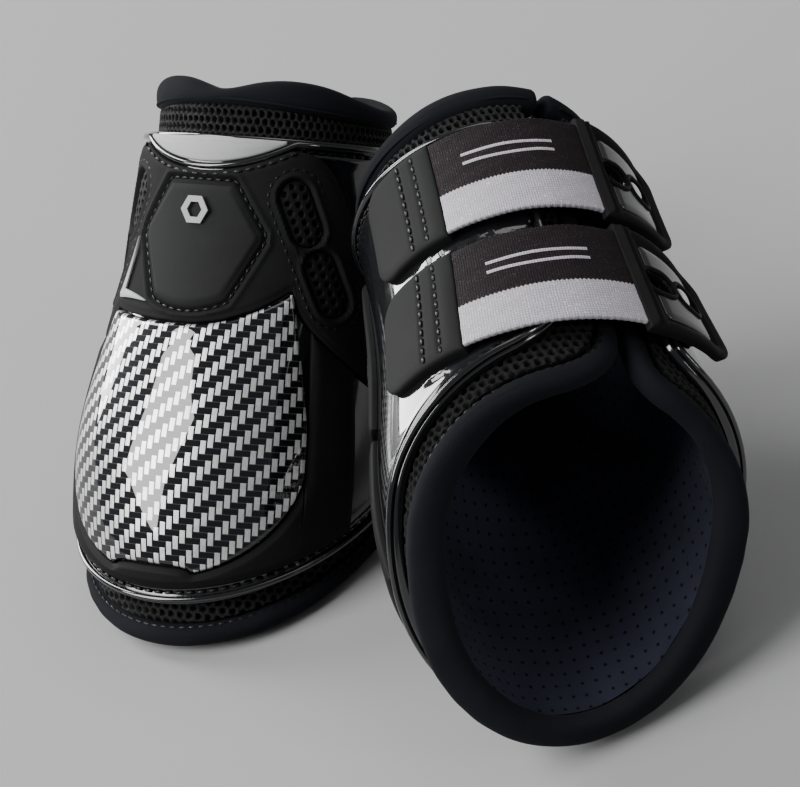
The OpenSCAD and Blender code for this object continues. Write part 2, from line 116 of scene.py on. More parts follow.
def rim_z(t):
    z = np.full(np.shape(t), 20.0)
    for _ in range(5):
        z = math.tan(RIM_SLOPE) * (RIM_BACK_Y - on_boot(t, z, LINER_MID)[..., 1])
    return z


def rise(reach, r):
    return r - np.sqrt(r * r - np.clip(r - reach, 0, r) ** 2)


def corner_rise(t, t0, t1, r0, r1):
    return rise(np.maximum(t - t0, 0) / DEG_PER_MM, r0) + rise(np.maximum(t1 - t, 0) / DEG_PER_MM, r1)


def binding_half_t(t):
    near = np.minimum(t - STUD_EDGE_T, ANCHOR_EDGE_T - t)
    share = np.clip((near - 25) / 45, 0, 1)
    return FRONT_R + (RIM_HALF_T - FRONT_R) * share * share * (3 - 2 * share)


def binding_reach(t):
    lean = math.sin(RIM_SLOPE) * np.cos(np.radians(t))
    return np.hypot(binding_half_t(t) * lean, FRONT_R * np.sqrt(1 - lean * lean))


def binding_z(t):
    return rim_z(t) + binding_reach(t) / math.cos(RIM_SLOPE)


def shell_low(t):
    return rim_z(t) + SHELL_INSET + corner_rise(t, SHELL_STUD_T, SHELL_ANCHOR_T, STUD_CORNER, ANCHOR_CORNER)


def shell_high(t):
    return SHELL_TOP - corner_rise(t, SHELL_STUD_T, SHELL_ANCHOR_T, 7, 9)


LINER_T0 = STUD_EDGE_T + FRONT_R * DEG_PER_MM + 0.5
LINER_T1 = ANCHOR_EDGE_T - FRONT_R * DEG_PER_MM - 0.5


def liner_low(t):
    climb = np.sqrt(1 + (math.tan(RIM_SLOPE) * np.sin(np.radians(t))) ** 2)
    return binding_z(t) + (FRONT_R + 0.3) * climb + corner_rise(t, LINER_T0, LINER_T1, 4, 12)


def liner_high(t):
    return LINER_TOP + LINER_WAVE * np.cos(np.radians(2 * t))


# Where each boot stands, from its upper strap's two hinges


def placement(side):
    flip = 1 if side == "right" else -1
    found = {j["name"]: j for j in frame["joints"]}
    hinge, tab_hinge = found[f"{side}_upper_strap_open"], found[f"{side}_upper_tab_unroll"]
    p1 = on_boot(HINGE_T, STRAPS["upper"], HINGE_D) * MM
    p2 = on_boot(TAB_HINGE_T, STRAPS["upper"], TAB_HINGE_D) * MM
    w1, w2 = np.array(hinge["pos_m"]), np.array(tab_hinge["pos_m"])
    mirror = np.diag([flip, 1.0, 1.0])
    up = np.array([0, 0, 1.0])
    axis = flip * np.array(hinge["axis"])
    e1 = mirror @ (p2 - p1)
    e1 /= np.linalg.norm(e1)
    f1 = (w2 - w1) / np.linalg.norm(w2 - w1)
    e = np.column_stack([e1, np.cross(up, e1), up])
    f = np.column_stack([f1, np.cross(axis, f1), axis])
    turn = f @ e.T @ mirror
    return turn, w1 - turn @ p1


PLACES = {side: placement(side) for side in ("right", "left")}

# Meshes


class Shape:
    """Points in millimetres, faces turned outwards, and a lay for each point: its millimetres along
    and across the piece, and how far it is sunk, for the materials."""

    def __init__(self):
        self.points, self.faces, self.lay, self.count = [], [], [], 0

    def add(self, points, faces, lay=None):
        points = np.asarray(points, float).reshape(-1, 3)
        self.points.append(points)
        self.lay.append(np.zeros_like(points) if lay is None else np.asarray(lay, float).reshape(-1, 3))
        self.faces += [[i + self.count for i in f] for f in faces]
        self.count += len(points)
        return self

    def join(self, other):
        self.add(np.vstack(other.points), other.faces, np.vstack(other.lay))


def build(side, name, shape, body, material, replaces=(), smooth_angle=50):
    turn, offset = PLACES[side]
    points = np.vstack(shape.points) * MM @ turn.T + offset
    faces = shape.faces if side == "right" else [f[::-1] for f in shape.faces]
    mesh = bpy.data.meshes.new(f"{side}_{name}")
    mesh.from_pydata(points.tolist(), [], faces)
    mesh.attributes.new("lay", "FLOAT_VECTOR", "POINT").data.foreach_set(
        "vector", np.vstack(shape.lay).astype(np.float32).ravel())
    mesh.validate()
    mesh.shade_smooth()
    mesh.set_sharp_from_angle(angle=math.radians(smooth_angle))
    mesh.materials.append(material)
    piece = bpy.data.objects.new(f"{side}_{name}", mesh)
    bpy.context.scene.collection.objects.link(piece)
    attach(piece, f"{side}_{body}")
    if replaces:
        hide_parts(*(f"{side}_{node}" for node in replaces))
    return piece


def remake(side, node, shape, material, body="boot", level=None, smooth_angle=50):
    """A new shape in place of the CAD node of the same name, or of that name at one strap's level."""
    name = f"{level}_{node}" if level else node
    return build(side, name, shape, body, material, [name], smooth_angle)


def columns(ts, zs):
    return np.repeat(ts[:, None], zs.shape[1], 1)


def smooth(x, lo, hi):
    s = np.clip((x - lo) / (hi - lo), 0, 1)
    return s * s * (3 - 2 * s)


def hump(x, middle, width):
    return np.exp(-((x - middle) / width) ** 2)


def spaced(t0, t1, ends, count, mm_per_deg):
    """Angles from t0 to t1 at the given distances from both ends, with an even run between."""
    near = np.array(ends) / mm_per_deg
    middle = np.linspace(t0 + near[-1], t1 - near[-1], count + 2)[1:-1]
    return np.concatenate([t0 + near, middle, (t1 - near)[::-1]])


def rows(low, high, ends, count):
    """Heights from low to high for each column, at the given distances from both edges."""
    height = (high - low)[:, None]
    ends = np.array(ends)[None]
    scale = np.minimum(1, 0.45 * height / ends[0, -1])
    near = ends * scale
    share = np.linspace(0, 1, count + 2)[None, 1:-1]
    middle = near[:, -1:] + (height - 2 * near[:, -1:]) * share
    return low[:, None] + np.concatenate([near, middle, height - near[:, ::-1]], 1)


def flat_place(t, z, radius):
    return np.stack([np.radians(t) * radius, z], -1)


def loop_distance(points, loop):
    """Distance of each point from a closed run of straight segments, both flat."""
    a, b = loop, np.roll(loop, -1, 0)
    ab = b - a
    length = np.maximum((ab ** 2).sum(1), 1e-12)
    out = []
    for part in np.array_split(points.reshape(-1, 2), max(1, len(points.reshape(-1, 2)) // 3000)):
        share = np.clip(((part[:, None] - a) * ab).sum(2) / length, 0, 1)
        out.append(np.sqrt(((part[:, None] - a - share[..., None] * ab) ** 2).sum(2).min(1)))
    return np.concatenate(out).reshape(points.shape[:-1])


def border(grid):
    return np.concatenate([grid[:, 0], grid[-1, 1:], grid[-2::-1, -1], grid[0, -2:0:-1]])


def round_edge(e, r):
    return r - np.sqrt(r * r - np.clip(r - e, 0, r) ** 2)


def slab(ts, zs, outer, inner, radius, relief, edge_r, holes=None):
    """A closed sheet on the boot, from its columns' angles ts, a grid of heights zs, and the distances
    of its outer and inner faces. relief(t, z, e) is added to the outer face, e being the distance from
    the sheet's edge, which is rounded by edge_r."""
    t, z = columns(ts, zs), zs
    flat = flat_place(t, z, radius)
    gone = None
    if holes is not None:
        t, z, gone = pierced(t, z, holes)
    e = loop_distance(flat, border(flat))
    lift = relief(t, z, e)
    d_out = outer - round_edge(e, edge_r) + lift
    d_in = inner + np.zeros_like(t)
    lay = np.stack([flat[..., 0], flat[..., 1], lift], -1)
    return closed_grid(on_boot(t, z, d_out), on_boot(t, z, d_in), lay, gone)


def closed_grid(out, inn, lay, gone=None):
    c, r = out.shape[:2]
    layer = c * r
    index = np.arange(layer).reshape(c, r)
    a, b, cc, d = index[:-1, :-1], index[:-1, 1:], index[1:, 1:], index[1:, :-1]
    quads = np.stack([a, b, cc, d], -1)
    keep = np.ones((c - 1, r - 1), bool) if gone is None else ~gone
    faces = [list(q) for q in quads[keep].tolist()]
    faces += [[q[0] + layer, q[3] + layer, q[2] + layer, q[1] + layer] for q in quads[keep].tolist()]
    padded = np.zeros((c + 1, r + 1), bool)
    padded[1:-1, 1:-1] = keep
    for i, j in zip(*np.nonzero(padded)):
        q = quads[i - 1, j - 1].tolist()
        around = ((i - 1, j, 0, 1), (i, j + 1, 1, 2), (i + 1, j, 2, 3), (i, j - 1, 3, 0))
        for ni, nj, u, v in around:
            if not padded[ni, nj]:
                faces.append([q[v], q[u], q[u] + layer, q[v] + layer])
    return Shape().add(np.concatenate([out.reshape(-1, 3), inn.reshape(-1, 3)]), faces,
                       np.concatenate([lay.reshape(-1, 3)] * 2))


def crown(height, start, end):
    """A relief for slab: a face that rises from near the sheet's edge."""
    return lambda t, z, e: height * smooth(e, start, end)


def pierced(t, z, holes):
    """Drops the cells inside the holes and moves the cells' corners round them onto the holes' edges."""
    def cell(v):
        return (v[:-1, :-1] + v[1:, :-1] + v[:-1, 1:] + v[1:, 1:]) / 4
    gone = holes(cell(t), cell(z)) < 0
    inside, outside = np.zeros(t.shape, bool), np.zeros(t.shape, bool)
    for di in (0, 1):
        for dj in (0, 1):
            part = (slice(di, t.shape[0] - 1 + di), slice(dj, t.shape[1] - 1 + dj))
            inside[part] |= gone
            outside[part] |= ~gone
    edge = inside & outside
    step = 0.05
    for _ in range(3):
        s = holes(t, z)
        gt, gz = (holes(t + step, z) - s) / step, (holes(t, z + step) - s) / step
        size = np.maximum(gt ** 2 + gz ** 2, 1e-9)
        t, z = np.where(edge, t - s * gt / size, t), np.where(edge, z - s * gz / size, z)
    return t, z, gone


def frames(path, closed):
    """The direction of a path at each of its points."""
    ahead, behind = np.roll(path, -1, 0), np.roll(path, 1, 0)
    if not closed:
        ahead[-1], behind[0] = path[-1], path[0]
    along = ahead - behind
    return along / np.linalg.norm(along, axis=1)[:, None]


def out_of(p, along):
    """Directions square to a path, away from the boot's axis, and across both."""
    radial = p * np.array([1, 1, 0])
    away = np.cross(along, np.cross(radial, along))
    out = away / np.linalg.norm(away, axis=1)[:, None]
    return out, np.cross(along, out)


def arc_length(path):
    return np.concatenate([[0], np.cumsum(np.linalg.norm(np.diff(path, axis=0), axis=1))])


def resample(path, step, closed=False):
    if closed:
        path = np.concatenate([path, path[:1]])
    s = arc_length(path)
    count = max(3, int(round(s[-1] / step)))
    at = np.linspace(0, s[-1], count + 1)
    if closed:
        at = at[:-1]
    return np.stack([np.interp(at, s, path[:, k]) for k in range(path.shape[1])], -1)


def tube_faces(rings, sides, closed=False):
    """Faces joining each ring of points to the next, with a cap at each end unless the run is closed."""
    faces = []
    for k in range(rings if closed else rings - 1):
        near, far = k * sides, ((k + 1) % rings) * sides
        for i in range(sides):
            j = (i + 1) % sides
            faces.append([near + i, near + j, far + j, far + i])
    if not closed:
        faces += [list(reversed(range(sides))), [(rings - 1) * sides + i for i in range(sides)]]
    return faces


def roll(path, half_t, half_h, sides, closed=False, power=1.0, ripple=None):
    """A soft or hard roll along a path, its section an oval square to the path."""
    along = frames(path, closed)
    out, up = out_of(path, along)
    a = np.linspace(0, 2 * math.pi, sides, endpoint=False)
    ca = np.sign(np.cos(a)) * np.abs(np.cos(a)) ** power
    sa = np.sign(np.sin(a)) * np.abs(np.sin(a)) ** power
    s = arc_length(path)
    swell = np.ones((len(path), sides)) if ripple is None else ripple(s[:, None], a[None])
    points = (path[:, None] + out[:, None] * (half_t[:, None] * ca * swell)[..., None]
              + up[:, None] * (half_h[:, None] * sa * swell)[..., None])
    around = a[None] * (half_t + half_h)[:, None] / 2
    lay = np.stack([np.repeat(s[:, None], sides, 1), around, swell - 1], -1)
    return Shape().add(points, tube_faces(len(path), sides, closed), lay)


def bead(ts, zs, d, r, sides=10, closed=False, step=1.2):
    """A round bead along a line of angles and heights on the boot."""
    path = resample(on_boot(ts, zs, d), step, closed)
    size = np.full(len(path), r)
    return roll(path, size, size, sides, closed)


def stitches(line, pitch=3.2, length=2.3, width=0.42, closed=False):
    """A row of thread stitches along a line of points, each a small rounded bar."""
    path = resample(line, pitch, closed)
    along = frames(path, closed)
    out, across = out_of(path, along)
    rings = [(-1.0, 0.25), (-0.8, 0.85), (0.0, 1.0), (0.8, 0.85), (1.0, 0.25)]
    a = np.linspace(0, 2 * math.pi, 6, endpoint=False)
    faces = tube_faces(len(rings), len(a))
    shape = Shape()
    for p, v, o, c in zip(path, along, out, across):
        points = [p + v * length / 2 * x + (o * 0.8 * np.cos(b) + c * np.sin(b)) * width * w
                  for x, w in rings for b in a]
        shape.add(points, faces)
    return shape


def lathe(profile, t, z, sides=40):
    """A turned piece standing on the boot at t and z, from (radius, distance) pairs."""
    centre = on_boot(t, z, 0.0)
    normal = on_boot(t, z, 1.0) - centre
    step = on_boot(t + 0.5, z, 0.0) - on_boot(t - 0.5, z, 0.0)
    x = step / np.linalg.norm(step)
    n = np.cross(np.cross(x, normal), x)
    n /= np.linalg.norm(n)
    y = np.cross(n, x)
    a = np.linspace(0, 2 * math.pi, sides, endpoint=False)
    points = [centre + n * d + (x * math.cos(b) + y * math.sin(b)) * r for r, d in profile for b in a]
    return Shape().add(points, tube_faces(len(profile), sides))


# Materials


class Nodes:
    """A Principled material with short calls for its nodes."""

    def __init__(self, name, **values):
        self.material = bpy.data.materials.new(name)
        self.material.use_nodes = True
        self.tree = self.material.node_tree
        self.shader = self.tree.nodes["Principled BSDF"]
        for key, value in values.items():
            self.shader.inputs[key.replace("_", " ")].default_value = value

    def put(self, node, key, value):
        if isinstance(value, bpy.types.NodeSocket):
            self.tree.links.new(value, node.inputs[key])
        else:
            node.inputs[key].default_value = value

    def set(self, **values):
        for key, value in values.items():
            self.put(self.shader, key.replace("_", " "), value)

    def math(self, operation, a, b=0.0):
        node = self.tree.nodes.new("ShaderNodeMath")
        node.operation = operation
        for i, value in enumerate((a, b)):
            self.put(node, i, value)
        return node.outputs[0]

    def times(self, a, b):
        return self.math("MULTIPLY", a, b)

    def plus(self, a, b):
        return self.math("ADD", a, b)

    def off(self, value, middle):
        """How far a value is from a middle, either way."""
        return self.math("ABSOLUTE", self.math("SUBTRACT", value, middle))

    def lay(self):
        """How far along and across its piece a point is, and how far it is sunk."""
        node = self.tree.nodes.new("ShaderNodeAttribute")
        node.attribute_name = "lay"
        split = self.tree.nodes.new("ShaderNodeSeparateXYZ")
        self.tree.links.new(node.outputs["Vector"], split.inputs[0])
        return split.outputs

    def place(self):
        return self.tree.nodes.new("ShaderNodeTexCoord").outputs["Object"]

    def noise(self, scale, detail=3.0, rough=0.5, at=None):
        node = self.tree.nodes.new("ShaderNodeTexNoise")
        self.tree.links.new(at or self.place(), node.inputs["Vector"])
        self.put(node, "Scale", scale)
        self.put(node, "Detail", detail)
        self.put(node, "Roughness", rough)
        return node.outputs["Fac"]

    def cells(self, scale):
        node = self.tree.nodes.new("ShaderNodeTexVoronoi")
        self.tree.links.new(self.place(), node.inputs["Vector"])
        self.put(node, "Scale", scale)
        return node.outputs["Distance"]

    def vector(self, x, y, z=0.0):
        node = self.tree.nodes.new("ShaderNodeCombineXYZ")
        for i, value in enumerate((x, y, z)):
            self.put(node, i, value)
        return node.outputs[0]

    def ramp(self, value, lo, hi, out_lo=0.0, out_hi=1.0):
        node = self.tree.nodes.new("ShaderNodeMapRange")
        node.interpolation_type = "SMOOTHSTEP"
        for i, v in enumerate((value, lo, hi, out_lo, out_hi)):
            self.put(node, i, v)
        return node.outputs[0]

    def mix(self, share, a, b):
        node = self.tree.nodes.new("ShaderNodeMix")
        node.data_type = "RGBA"
        self.put(node, 0, share)
        for i, colour in ((6, a), (7, b)):
            self.put(node, i, colour if isinstance(colour, bpy.types.NodeSocket) else (*colour, 1.0))
        return node.outputs[2]

    def bump(self, height, distance, strength):
        node = self.tree.nodes.new("ShaderNodeBump")
        self.put(node, "Height", height)
        self.put(node, "Distance", distance)
        self.put(node, "Strength", strength)
        return node.outputs[0]


def grey(value, tint=(1.0, 1.0, 1.0)):
    return tuple(value * c for c in tint)


def gloss_black():
    m = Nodes("gloss_black_shell", Coat_Weight=0.6, Coat_Roughness=0.03)
    wear = m.noise(60, 4, 0.6)
    m.set(Base_Color=m.mix(wear, grey(0.003), grey(0.009, (0.9, 0.95, 1.1))),
          Roughness=m.ramp(m.noise(220, 5, 0.65), 0.35, 0.75, 0.07, 0.17),
          Normal=m.bump(m.noise(35, 2), 0.00025, 0.5))
    return m.material


def rubber(name, level, rough=0.6, grain=1.0):
    """Matt moulded rubber: a fine pebbled grain, and paler where it is rubbed."""
    m = Nodes(name, Specular_IOR_Level=0.05)
    rub = m.noise(45, 4, 0.6)
    pebble = m.cells(2600)
    m.set(Base_Color=m.mix(m.ramp(rub, 0.35, 0.7), grey(level * 0.85), grey(level * 1.15, (0.98, 1.0, 1.02))),
          Roughness=m.ramp(rub, 0.3, 0.75, rough - 0.07, rough + 0.08),
          Normal=m.bump(m.plus(pebble, m.noise(900, 3)), 0.00006 * grain, 0.6))
    return m.material


def vent_rubber():
    """The vents' pads: matt grey rubber, with painted shade, near black, down in the sunk holes."""
    m = Nodes("vent_rubber", Specular_IOR_Level=0.12)
    # Painted shade: this mask turns the colour near black where the pad is sunk into its holes.
    clear_of_pit_shade = m.ramp(m.lay()[2], -0.9, -0.1)
    speck = m.noise(1200, 3)
    m.set(Base_Color=m.mix(clear_of_pit_shade, grey(0.001), m.mix(speck, grey(0.004), grey(0.008))),
          Roughness=m.ramp(speck, 0.3, 0.7, 0.6, 0.8), Normal=m.bump(speck, 0.00006, 0.6))
    return m.material


def carbon():
    """Twill: pale upright tows over two and under two dark cross tows, under clear lacquer."""
    m = Nodes("carbon_twill", Coat_Weight=1.0, Coat_Roughness=0.02, Coat_IOR=1.6)
    tow_w, tow_h = 1.9, 1.85
    s, z, _ = m.lay()
    u, v = m.math("DIVIDE", s, tow_w), m.math("DIVIDE", z, tow_h)
    column, row = m.math("FLOOR", u), m.math("FLOOR", v)
    fu, fv = m.math("FRACT", u), m.math("FRACT", v)
    phase = m.math("FLOORED_MODULO", m.plus(v, column), 4.0)
    near = m.off(fu, 0.5)
    upright = m.times(m.ramp(near, 0.39, 0.36), m.ramp(phase, 0.02, 0.06))
    upright = m.times(upright, m.ramp(phase, 2.06, 2.02))
    strand = m.noise(1.0, 2, 0.5, m.vector(m.times(s, 9.0), m.times(z, 0.6)))
    cross = m.ramp(m.off(fv, 0.5), 0.40, 0.46)
    dark = m.mix(cross, grey(0.0012, (0.8, 0.9, 1.6)), grey(0.03, (0.9, 0.95, 1.1)))
    pale = m.mix(m.ramp(strand, 0.3, 0.7), grey(0.52), grey(0.80))
    tone = m.noise(1.0, 1, 0.5, m.vector(m.times(column, 3.7), m.times(row, 5.3)))
    pale = m.mix(m.ramp(tone, 0.35, 0.65, 0.0, 0.30), pale, grey(0.40))
    m.set(Base_Color=m.mix(upright, dark, pale), Metallic=m.times(upright, 0.75),
          Roughness=m.ramp(upright, 0, 1, 0.5, 0.42),
          Specular_IOR_Level=m.ramp(upright, 0, 1, 0.03, 0.5),
          Normal=m.bump(m.plus(upright, m.times(strand, 0.2)), 0.00012, 0.35))
    m.set(Coat_Normal=m.bump(m.noise(30, 2), 0.0002, 0.3))
    return m.material


def silver(name, level, rough, shine, coat):
    m = Nodes(name, Coat_Weight=coat, Coat_Roughness=0.12)
    brushed = m.noise(1.0, 4, 0.6, m.vector(m.times(m.noise(40), 3.0), 0.0))
    m.set(Base_Color=m.mix(m.noise(300, 4), grey(level * 0.9), grey(level * 1.08, (0.99, 1.0, 1.01))),
          Metallic=shine, Roughness=m.ramp(brushed, 0.3, 0.7, rough, rough + 0.12),
          Normal=m.bump(m.noise(1500, 3), 0.00004, 0.5))
    return m.material


def spacer():
    """Spacer mesh: dark yarns round sunk holes, with painted shade making the holes darker still."""
    m = Nodes("spacer_mesh", Sheen_Weight=0.03, Specular_IOR_Level=0.12)
    s, z, sunk = m.lay()
    yarn = m.noise(1.0, 2, 0.6, m.vector(m.times(s, 3.2), m.times(z, 5.2)))
    # Painted shade: this mask turns the colour near black where the mesh is sunk into its holes.
    clear_of_hole_shade = m.ramp(sunk, -0.8, -0.1)
    m.set(Base_Color=m.mix(clear_of_hole_shade, grey(0.0012), m.mix(m.ramp(yarn, 0.3, 0.7), grey(0.0035), grey(0.0095))),
          Roughness=m.ramp(yarn, 0.2, 0.8, 0.6, 0.9), Normal=m.bump(yarn, 0.0002, 0.7))
    return m.material


def perforated():
    """The neoprene lining: dark navy jersey with a fine grid of pinholes, filled with painted shade."""
    m = Nodes("neoprene_lining", Sheen_Weight=0.03, Sheen_Roughness=0.5, Specular_IOR_Level=0.08)
    s, z, _ = m.lay()
    pitch = 4.2

    def near(v):
        f = m.math("FRACT", m.math("DIVIDE", v, pitch))
        return m.times(m.math("SUBTRACT", f, 0.5), pitch)
    x, y = near(s), near(z)
    hole = m.math("SQRT", m.plus(m.times(x, x), m.times(y, y)))
    # Painted shade: the pinholes are coloured near black, and the same mask sinks them in the bump.
    rim = m.ramp(hole, 0.25, 0.75)
    knit = m.noise(2600, 2, 0.6)
    fade = m.noise(28, 3, 0.55)
    cloth = m.mix(m.ramp(fade, 0.3, 0.7), grey(0.012, (0.70, 0.80, 1.25)), grey(0.025, (0.70, 0.78, 1.25)))
    m.set(Base_Color=m.mix(rim, grey(0.0012), cloth), Roughness=m.ramp(knit, 0.2, 0.8, 0.72, 0.92),
          Normal=m.bump(m.plus(rim, m.times(knit, 0.35)), 0.0003, 0.7))
    return m.material


def jersey():
    """Soft black jersey over foam, with a fine rib and a little lint."""
    m = Nodes("black_jersey", Sheen_Weight=0.012, Sheen_Roughness=0.4, Specular_IOR_Level=0.06)
    s, around, _ = m.lay()
    rib = m.math("SINE", m.times(around, 9.0))
    loop = m.math("SINE", m.times(s, 9.0))
    knit = m.times(m.times(rib, loop), 0.5)
    lint = m.ramp(m.noise(700, 2), 0.68, 0.78)
    shade = m.noise(50, 3)
    blue_black = (0.9, 0.95, 1.2)
    cloth = m.mix(shade, grey(0.0050, blue_black), grey(0.0105, blue_black))
    m.set(Base_Color=m.mix(lint, cloth, grey(0.008)),
          Roughness=m.ramp(shade, 0.2, 0.8, 0.85, 0.98),
          Normal=m.bump(m.plus(knit, m.times(m.noise(160, 3), 2.0)), 0.00012, 0.6))
    return m.material


def elastic_weave():
    """Ribbed elastic in two tones, with a stepped border and two plain stripes along it. Painted shade
    darkens it between the ribs, and painted glints light small specks.
    """
    m = Nodes("two_tone_elastic", Specular_IOR_Level=0.15)
    s, z, _ = m.lay()
    tone = m.ramp(m.plus(z, m.math("PINGPONG", s, 0.5)), -3.3, -2.9)
    stripes, stripe_middle = (7.4, 4.2), 20.0
    marks = 0.0
    for height in stripes:
        line = m.ramp(m.off(z, height), 0.55, 0.40)
        marks = m.math("MAXIMUM", marks, line)
    marks = m.times(marks, m.ramp(m.off(s, stripe_middle), 12.1, 11.9))
    pick = m.math("FRACT", m.math("DIVIDE", s, 0.62))
    wale = m.math("FRACT", m.math("DIVIDE", z, 0.8))
    # Painted shade: this rib mask darkens both tones between the ribs and lightens their tops, as well as
    # raising the bump.
    rib_relief_and_shade = m.times(m.math("PINGPONG", pick, 0.5), m.math("PINGPONG", wale, 0.5))
    # Painted highlight: small specks lightened in the colour as glints, and made glossier.
    glint = m.ramp(m.noise(2300, 2, 0.7), 0.60, 0.72)
    dark = m.mix(glint, m.mix(rib_relief_and_shade, grey(0.0048, (1.0, 0.62, 0.80)), grey(0.034, (1.0, 0.66, 0.82))),
                 grey(0.05, (1.0, 0.75, 0.88)))
    rib = m.mix(m.times(rib_relief_and_shade, 3.0), grey(0.26, (1.0, 0.94, 1.03)), grey(0.55, (1.0, 0.96, 1.04)))
    pale = m.mix(glint, rib, grey(0.75))
    flipped = m.off(tone, marks)
    m.set(Base_Color=m.mix(flipped, pale, dark), Roughness=m.ramp(glint, 0, 1, 0.75, 0.4),
          Normal=m.bump(m.plus(rib_relief_and_shade, m.times(m.noise(1800, 2), 0.3)), 0.0006, 0.7))
    return m.material


def thread():
    m = Nodes("black_thread", Specular_IOR_Level=0.2)
    twist = m.noise(2200, 3)
    m.set(Base_Color=m.mix(twist, grey(0.0015), grey(0.005)), Roughness=m.ramp(twist, 0.3, 0.7, 0.3, 0.5),
          Normal=m.bump(twist, 0.0001, 0.7))
    return m.material


def foam_cells():
    m = Nodes("grey_foam", Specular_IOR_Level=0.2)
    cells = m.cells(1400)
    m.set(Base_Color=m.mix(cells, grey(0.05), grey(0.16)), Roughness=0.95, Normal=m.bump(cells, 0.0003, 0.8))
    return m.material


def metal(name, level, rough):
    m = Nodes(name, Metallic=1.0)
    scratch = m.noise(500, 5, 0.7)
    m.set(Base_Color=m.mix(scratch, grey(level * 0.85), grey(level)),
          Roughness=m.ramp(scratch, 0.3, 0.75, rough, rough + 0.16), Normal=m.bump(scratch, 0.00003, 0.5))
    return m.material


GLOSS = gloss_black()
PANEL_RUBBER = rubber("charcoal_rubber", 0.0085, 0.72)
BADGE_RUBBER = rubber("badge_rubber", 0.0150, 0.70)
DARK_RUBBER = rubber("dark_rubber", 0.0065, 0.60)
ANCHOR_RUBBER = rubber("anchor_rubber", 0.0150, 0.75)
TAB_RUBBER = rubber("tab_rubber", 0.0035, 0.50)
BLACK_RUBBER = rubber("black_rubber", 0.007, 0.50, 1.6)
VENT_RUBBER = vent_rubber()
CARBON = carbon()
SILVER = silver("satin_silver", 0.27, 0.58, 0.05, 0.0)
MESH = spacer()
LINING = perforated()
JERSEY = jersey()
ELASTIC = elastic_weave()
THREAD = thread()
GREY_GLOSS = silver("grey_gloss_panel", 0.03, 0.16, 0.4, 0.35)
STUD_METAL = metal("polished_steel", 0.85, 0.12)
WASHER_METAL = metal("brushed_steel", 0.6, 0.35)
FOAM = foam_cells()

# The hard shell and what is moulded on it

PIPING_IN = 1.6
CRESCENT_T = 38.0
PLATE_T, PLATE_BOTTOM, PLATE_SIDE_Z = 50.0, 23.0, 62.0
PLATE_TOP, EAR_T, EAR_Z, ANCHOR_EAR_Z = 95.0, 42.0, 106.0, 97.0
FLEX_T, FLEX_SIDE_Z, BEZEL_T = 78.0, 80.0, 68.0
VENT_T, VENT_Z, VENT_L, VENT_W = 50.0, 119.0, 46.0, 15.0
VENT_COS, VENT_SIN = math.cos(math.radians(66)), math.sin(math.radians(66))
VENT_R = TUBE + 5
INSERT_L, INSERT_W, INSERT_GAP = 20.0, 10.0, 1.6
BADGE_Z, BADGE_T, BADGE_TOP_T, BADGE_FOOT_T = 121.0, 28.0, 15.0, 16.0
FINE = [0, 0.12, 0.3, 0.55, 0.9, 1.4]
LIP = [0, 0.15, 0.4, 0.8, 1.3, 2.0, 2.8, 3.4, 4.0, 4.7, 5.6]


def anchor_distance(t, z):
    """Distance outside the nearer anchor's outline, with rounded corners; below zero inside it."""
    best = np.full(np.shape(t), 99.0)
    corner = 7
    for height in STRAPS.values():
        across = np.abs(z - height) - (ANCHOR_HALF - corner)
        along = np.radians(ANCHOR_T0 - t) * (TUBE + 4) + corner
        outside = np.hypot(np.maximum(across, 0), np.maximum(along, 0))
        outside = outside + np.minimum(np.maximum(across, along), 0) - corner
        best = np.minimum(best, outside)
    return best


def shell_relief(t, z, e):
    """A stitch groove inside the lip, and raised arms round the strap anchors."""
    groove = -0.45 * hump(e, 3.5, 0.6) + 0.25 * hump(e, 5.0, 0.8)
    near = anchor_distance(t, z)
    arm = 0.9 * hump(near, 1.9, 0.8) * smooth(t, 116, 124) * smooth(e, 4, 7)
    return groove + arm


def shell(side):
    ts = spaced(SHELL_STUD_T, SHELL_ANCHOR_T, LIP + [7, 9, 11.5, 14], 190, 0.7)
    zs = rows(shell_low(ts), shell_high(ts), LIP, 74)
    remake(side, "shell", slab(ts, zs, SHELL_T, 0.0, 40.0, shell_relief, 0.8), GLOSS)


def crescent_low(t):
    return 142 + 7 * (t / CRESCENT_T) ** 2


def lip_path(inset, dip):
    """Round the shell at an inset from its edge, dipping under the crescent."""
    reach = inset * DEG_PER_MM
    ends = [0, 0.1, 0.4, 1, 2, 3.5, 5.5, 8, 11, 14]
    ts = spaced(SHELL_STUD_T + reach, SHELL_ANCHOR_T - reach, ends, 150, 0.63)
    low = shell_low(ts) + inset
    crescent = np.where(np.abs(ts) < CRESCENT_T + 10, crescent_low(ts) - dip, SHELL_TOP)
    high = np.minimum(shell_high(ts) - inset, crescent)
    return np.concatenate([ts, ts[::-1]]), np.concatenate([low, high[::-1]])


def shell_lip(side):
    ts, zs = lip_path(PIPING_IN, 1.2)
    lip = bead(ts, zs, 3.0, 0.95, closed=True)
    build(side, "shell_lip", lip, "boot", GLOSS, ["shell_piping"])
    ts, zs = lip_path(3.5, 3.6)
    d = np.where((np.abs(ts) < CRESCENT_T + 4) & (zs > 100), OVERLAY_OUT + 0.15, 2.25)
    seam = stitches(on_boot(ts, zs, d), 3.4, 2.4, 0.5, closed=True)
    build(side, "shell_stitches", seam, "boot", THREAD)


def notch(t):
    return 3.4 * np.sqrt(np.clip(1 - (t / 15.0) ** 2, 0, 1))


def plate_low(t):
    swoop = 1 - np.sqrt(1 - (t / (PLATE_T + 1)) ** 2)
    return PLATE_BOTTOM + (PLATE_SIDE_Z - PLATE_BOTTOM) * swoop


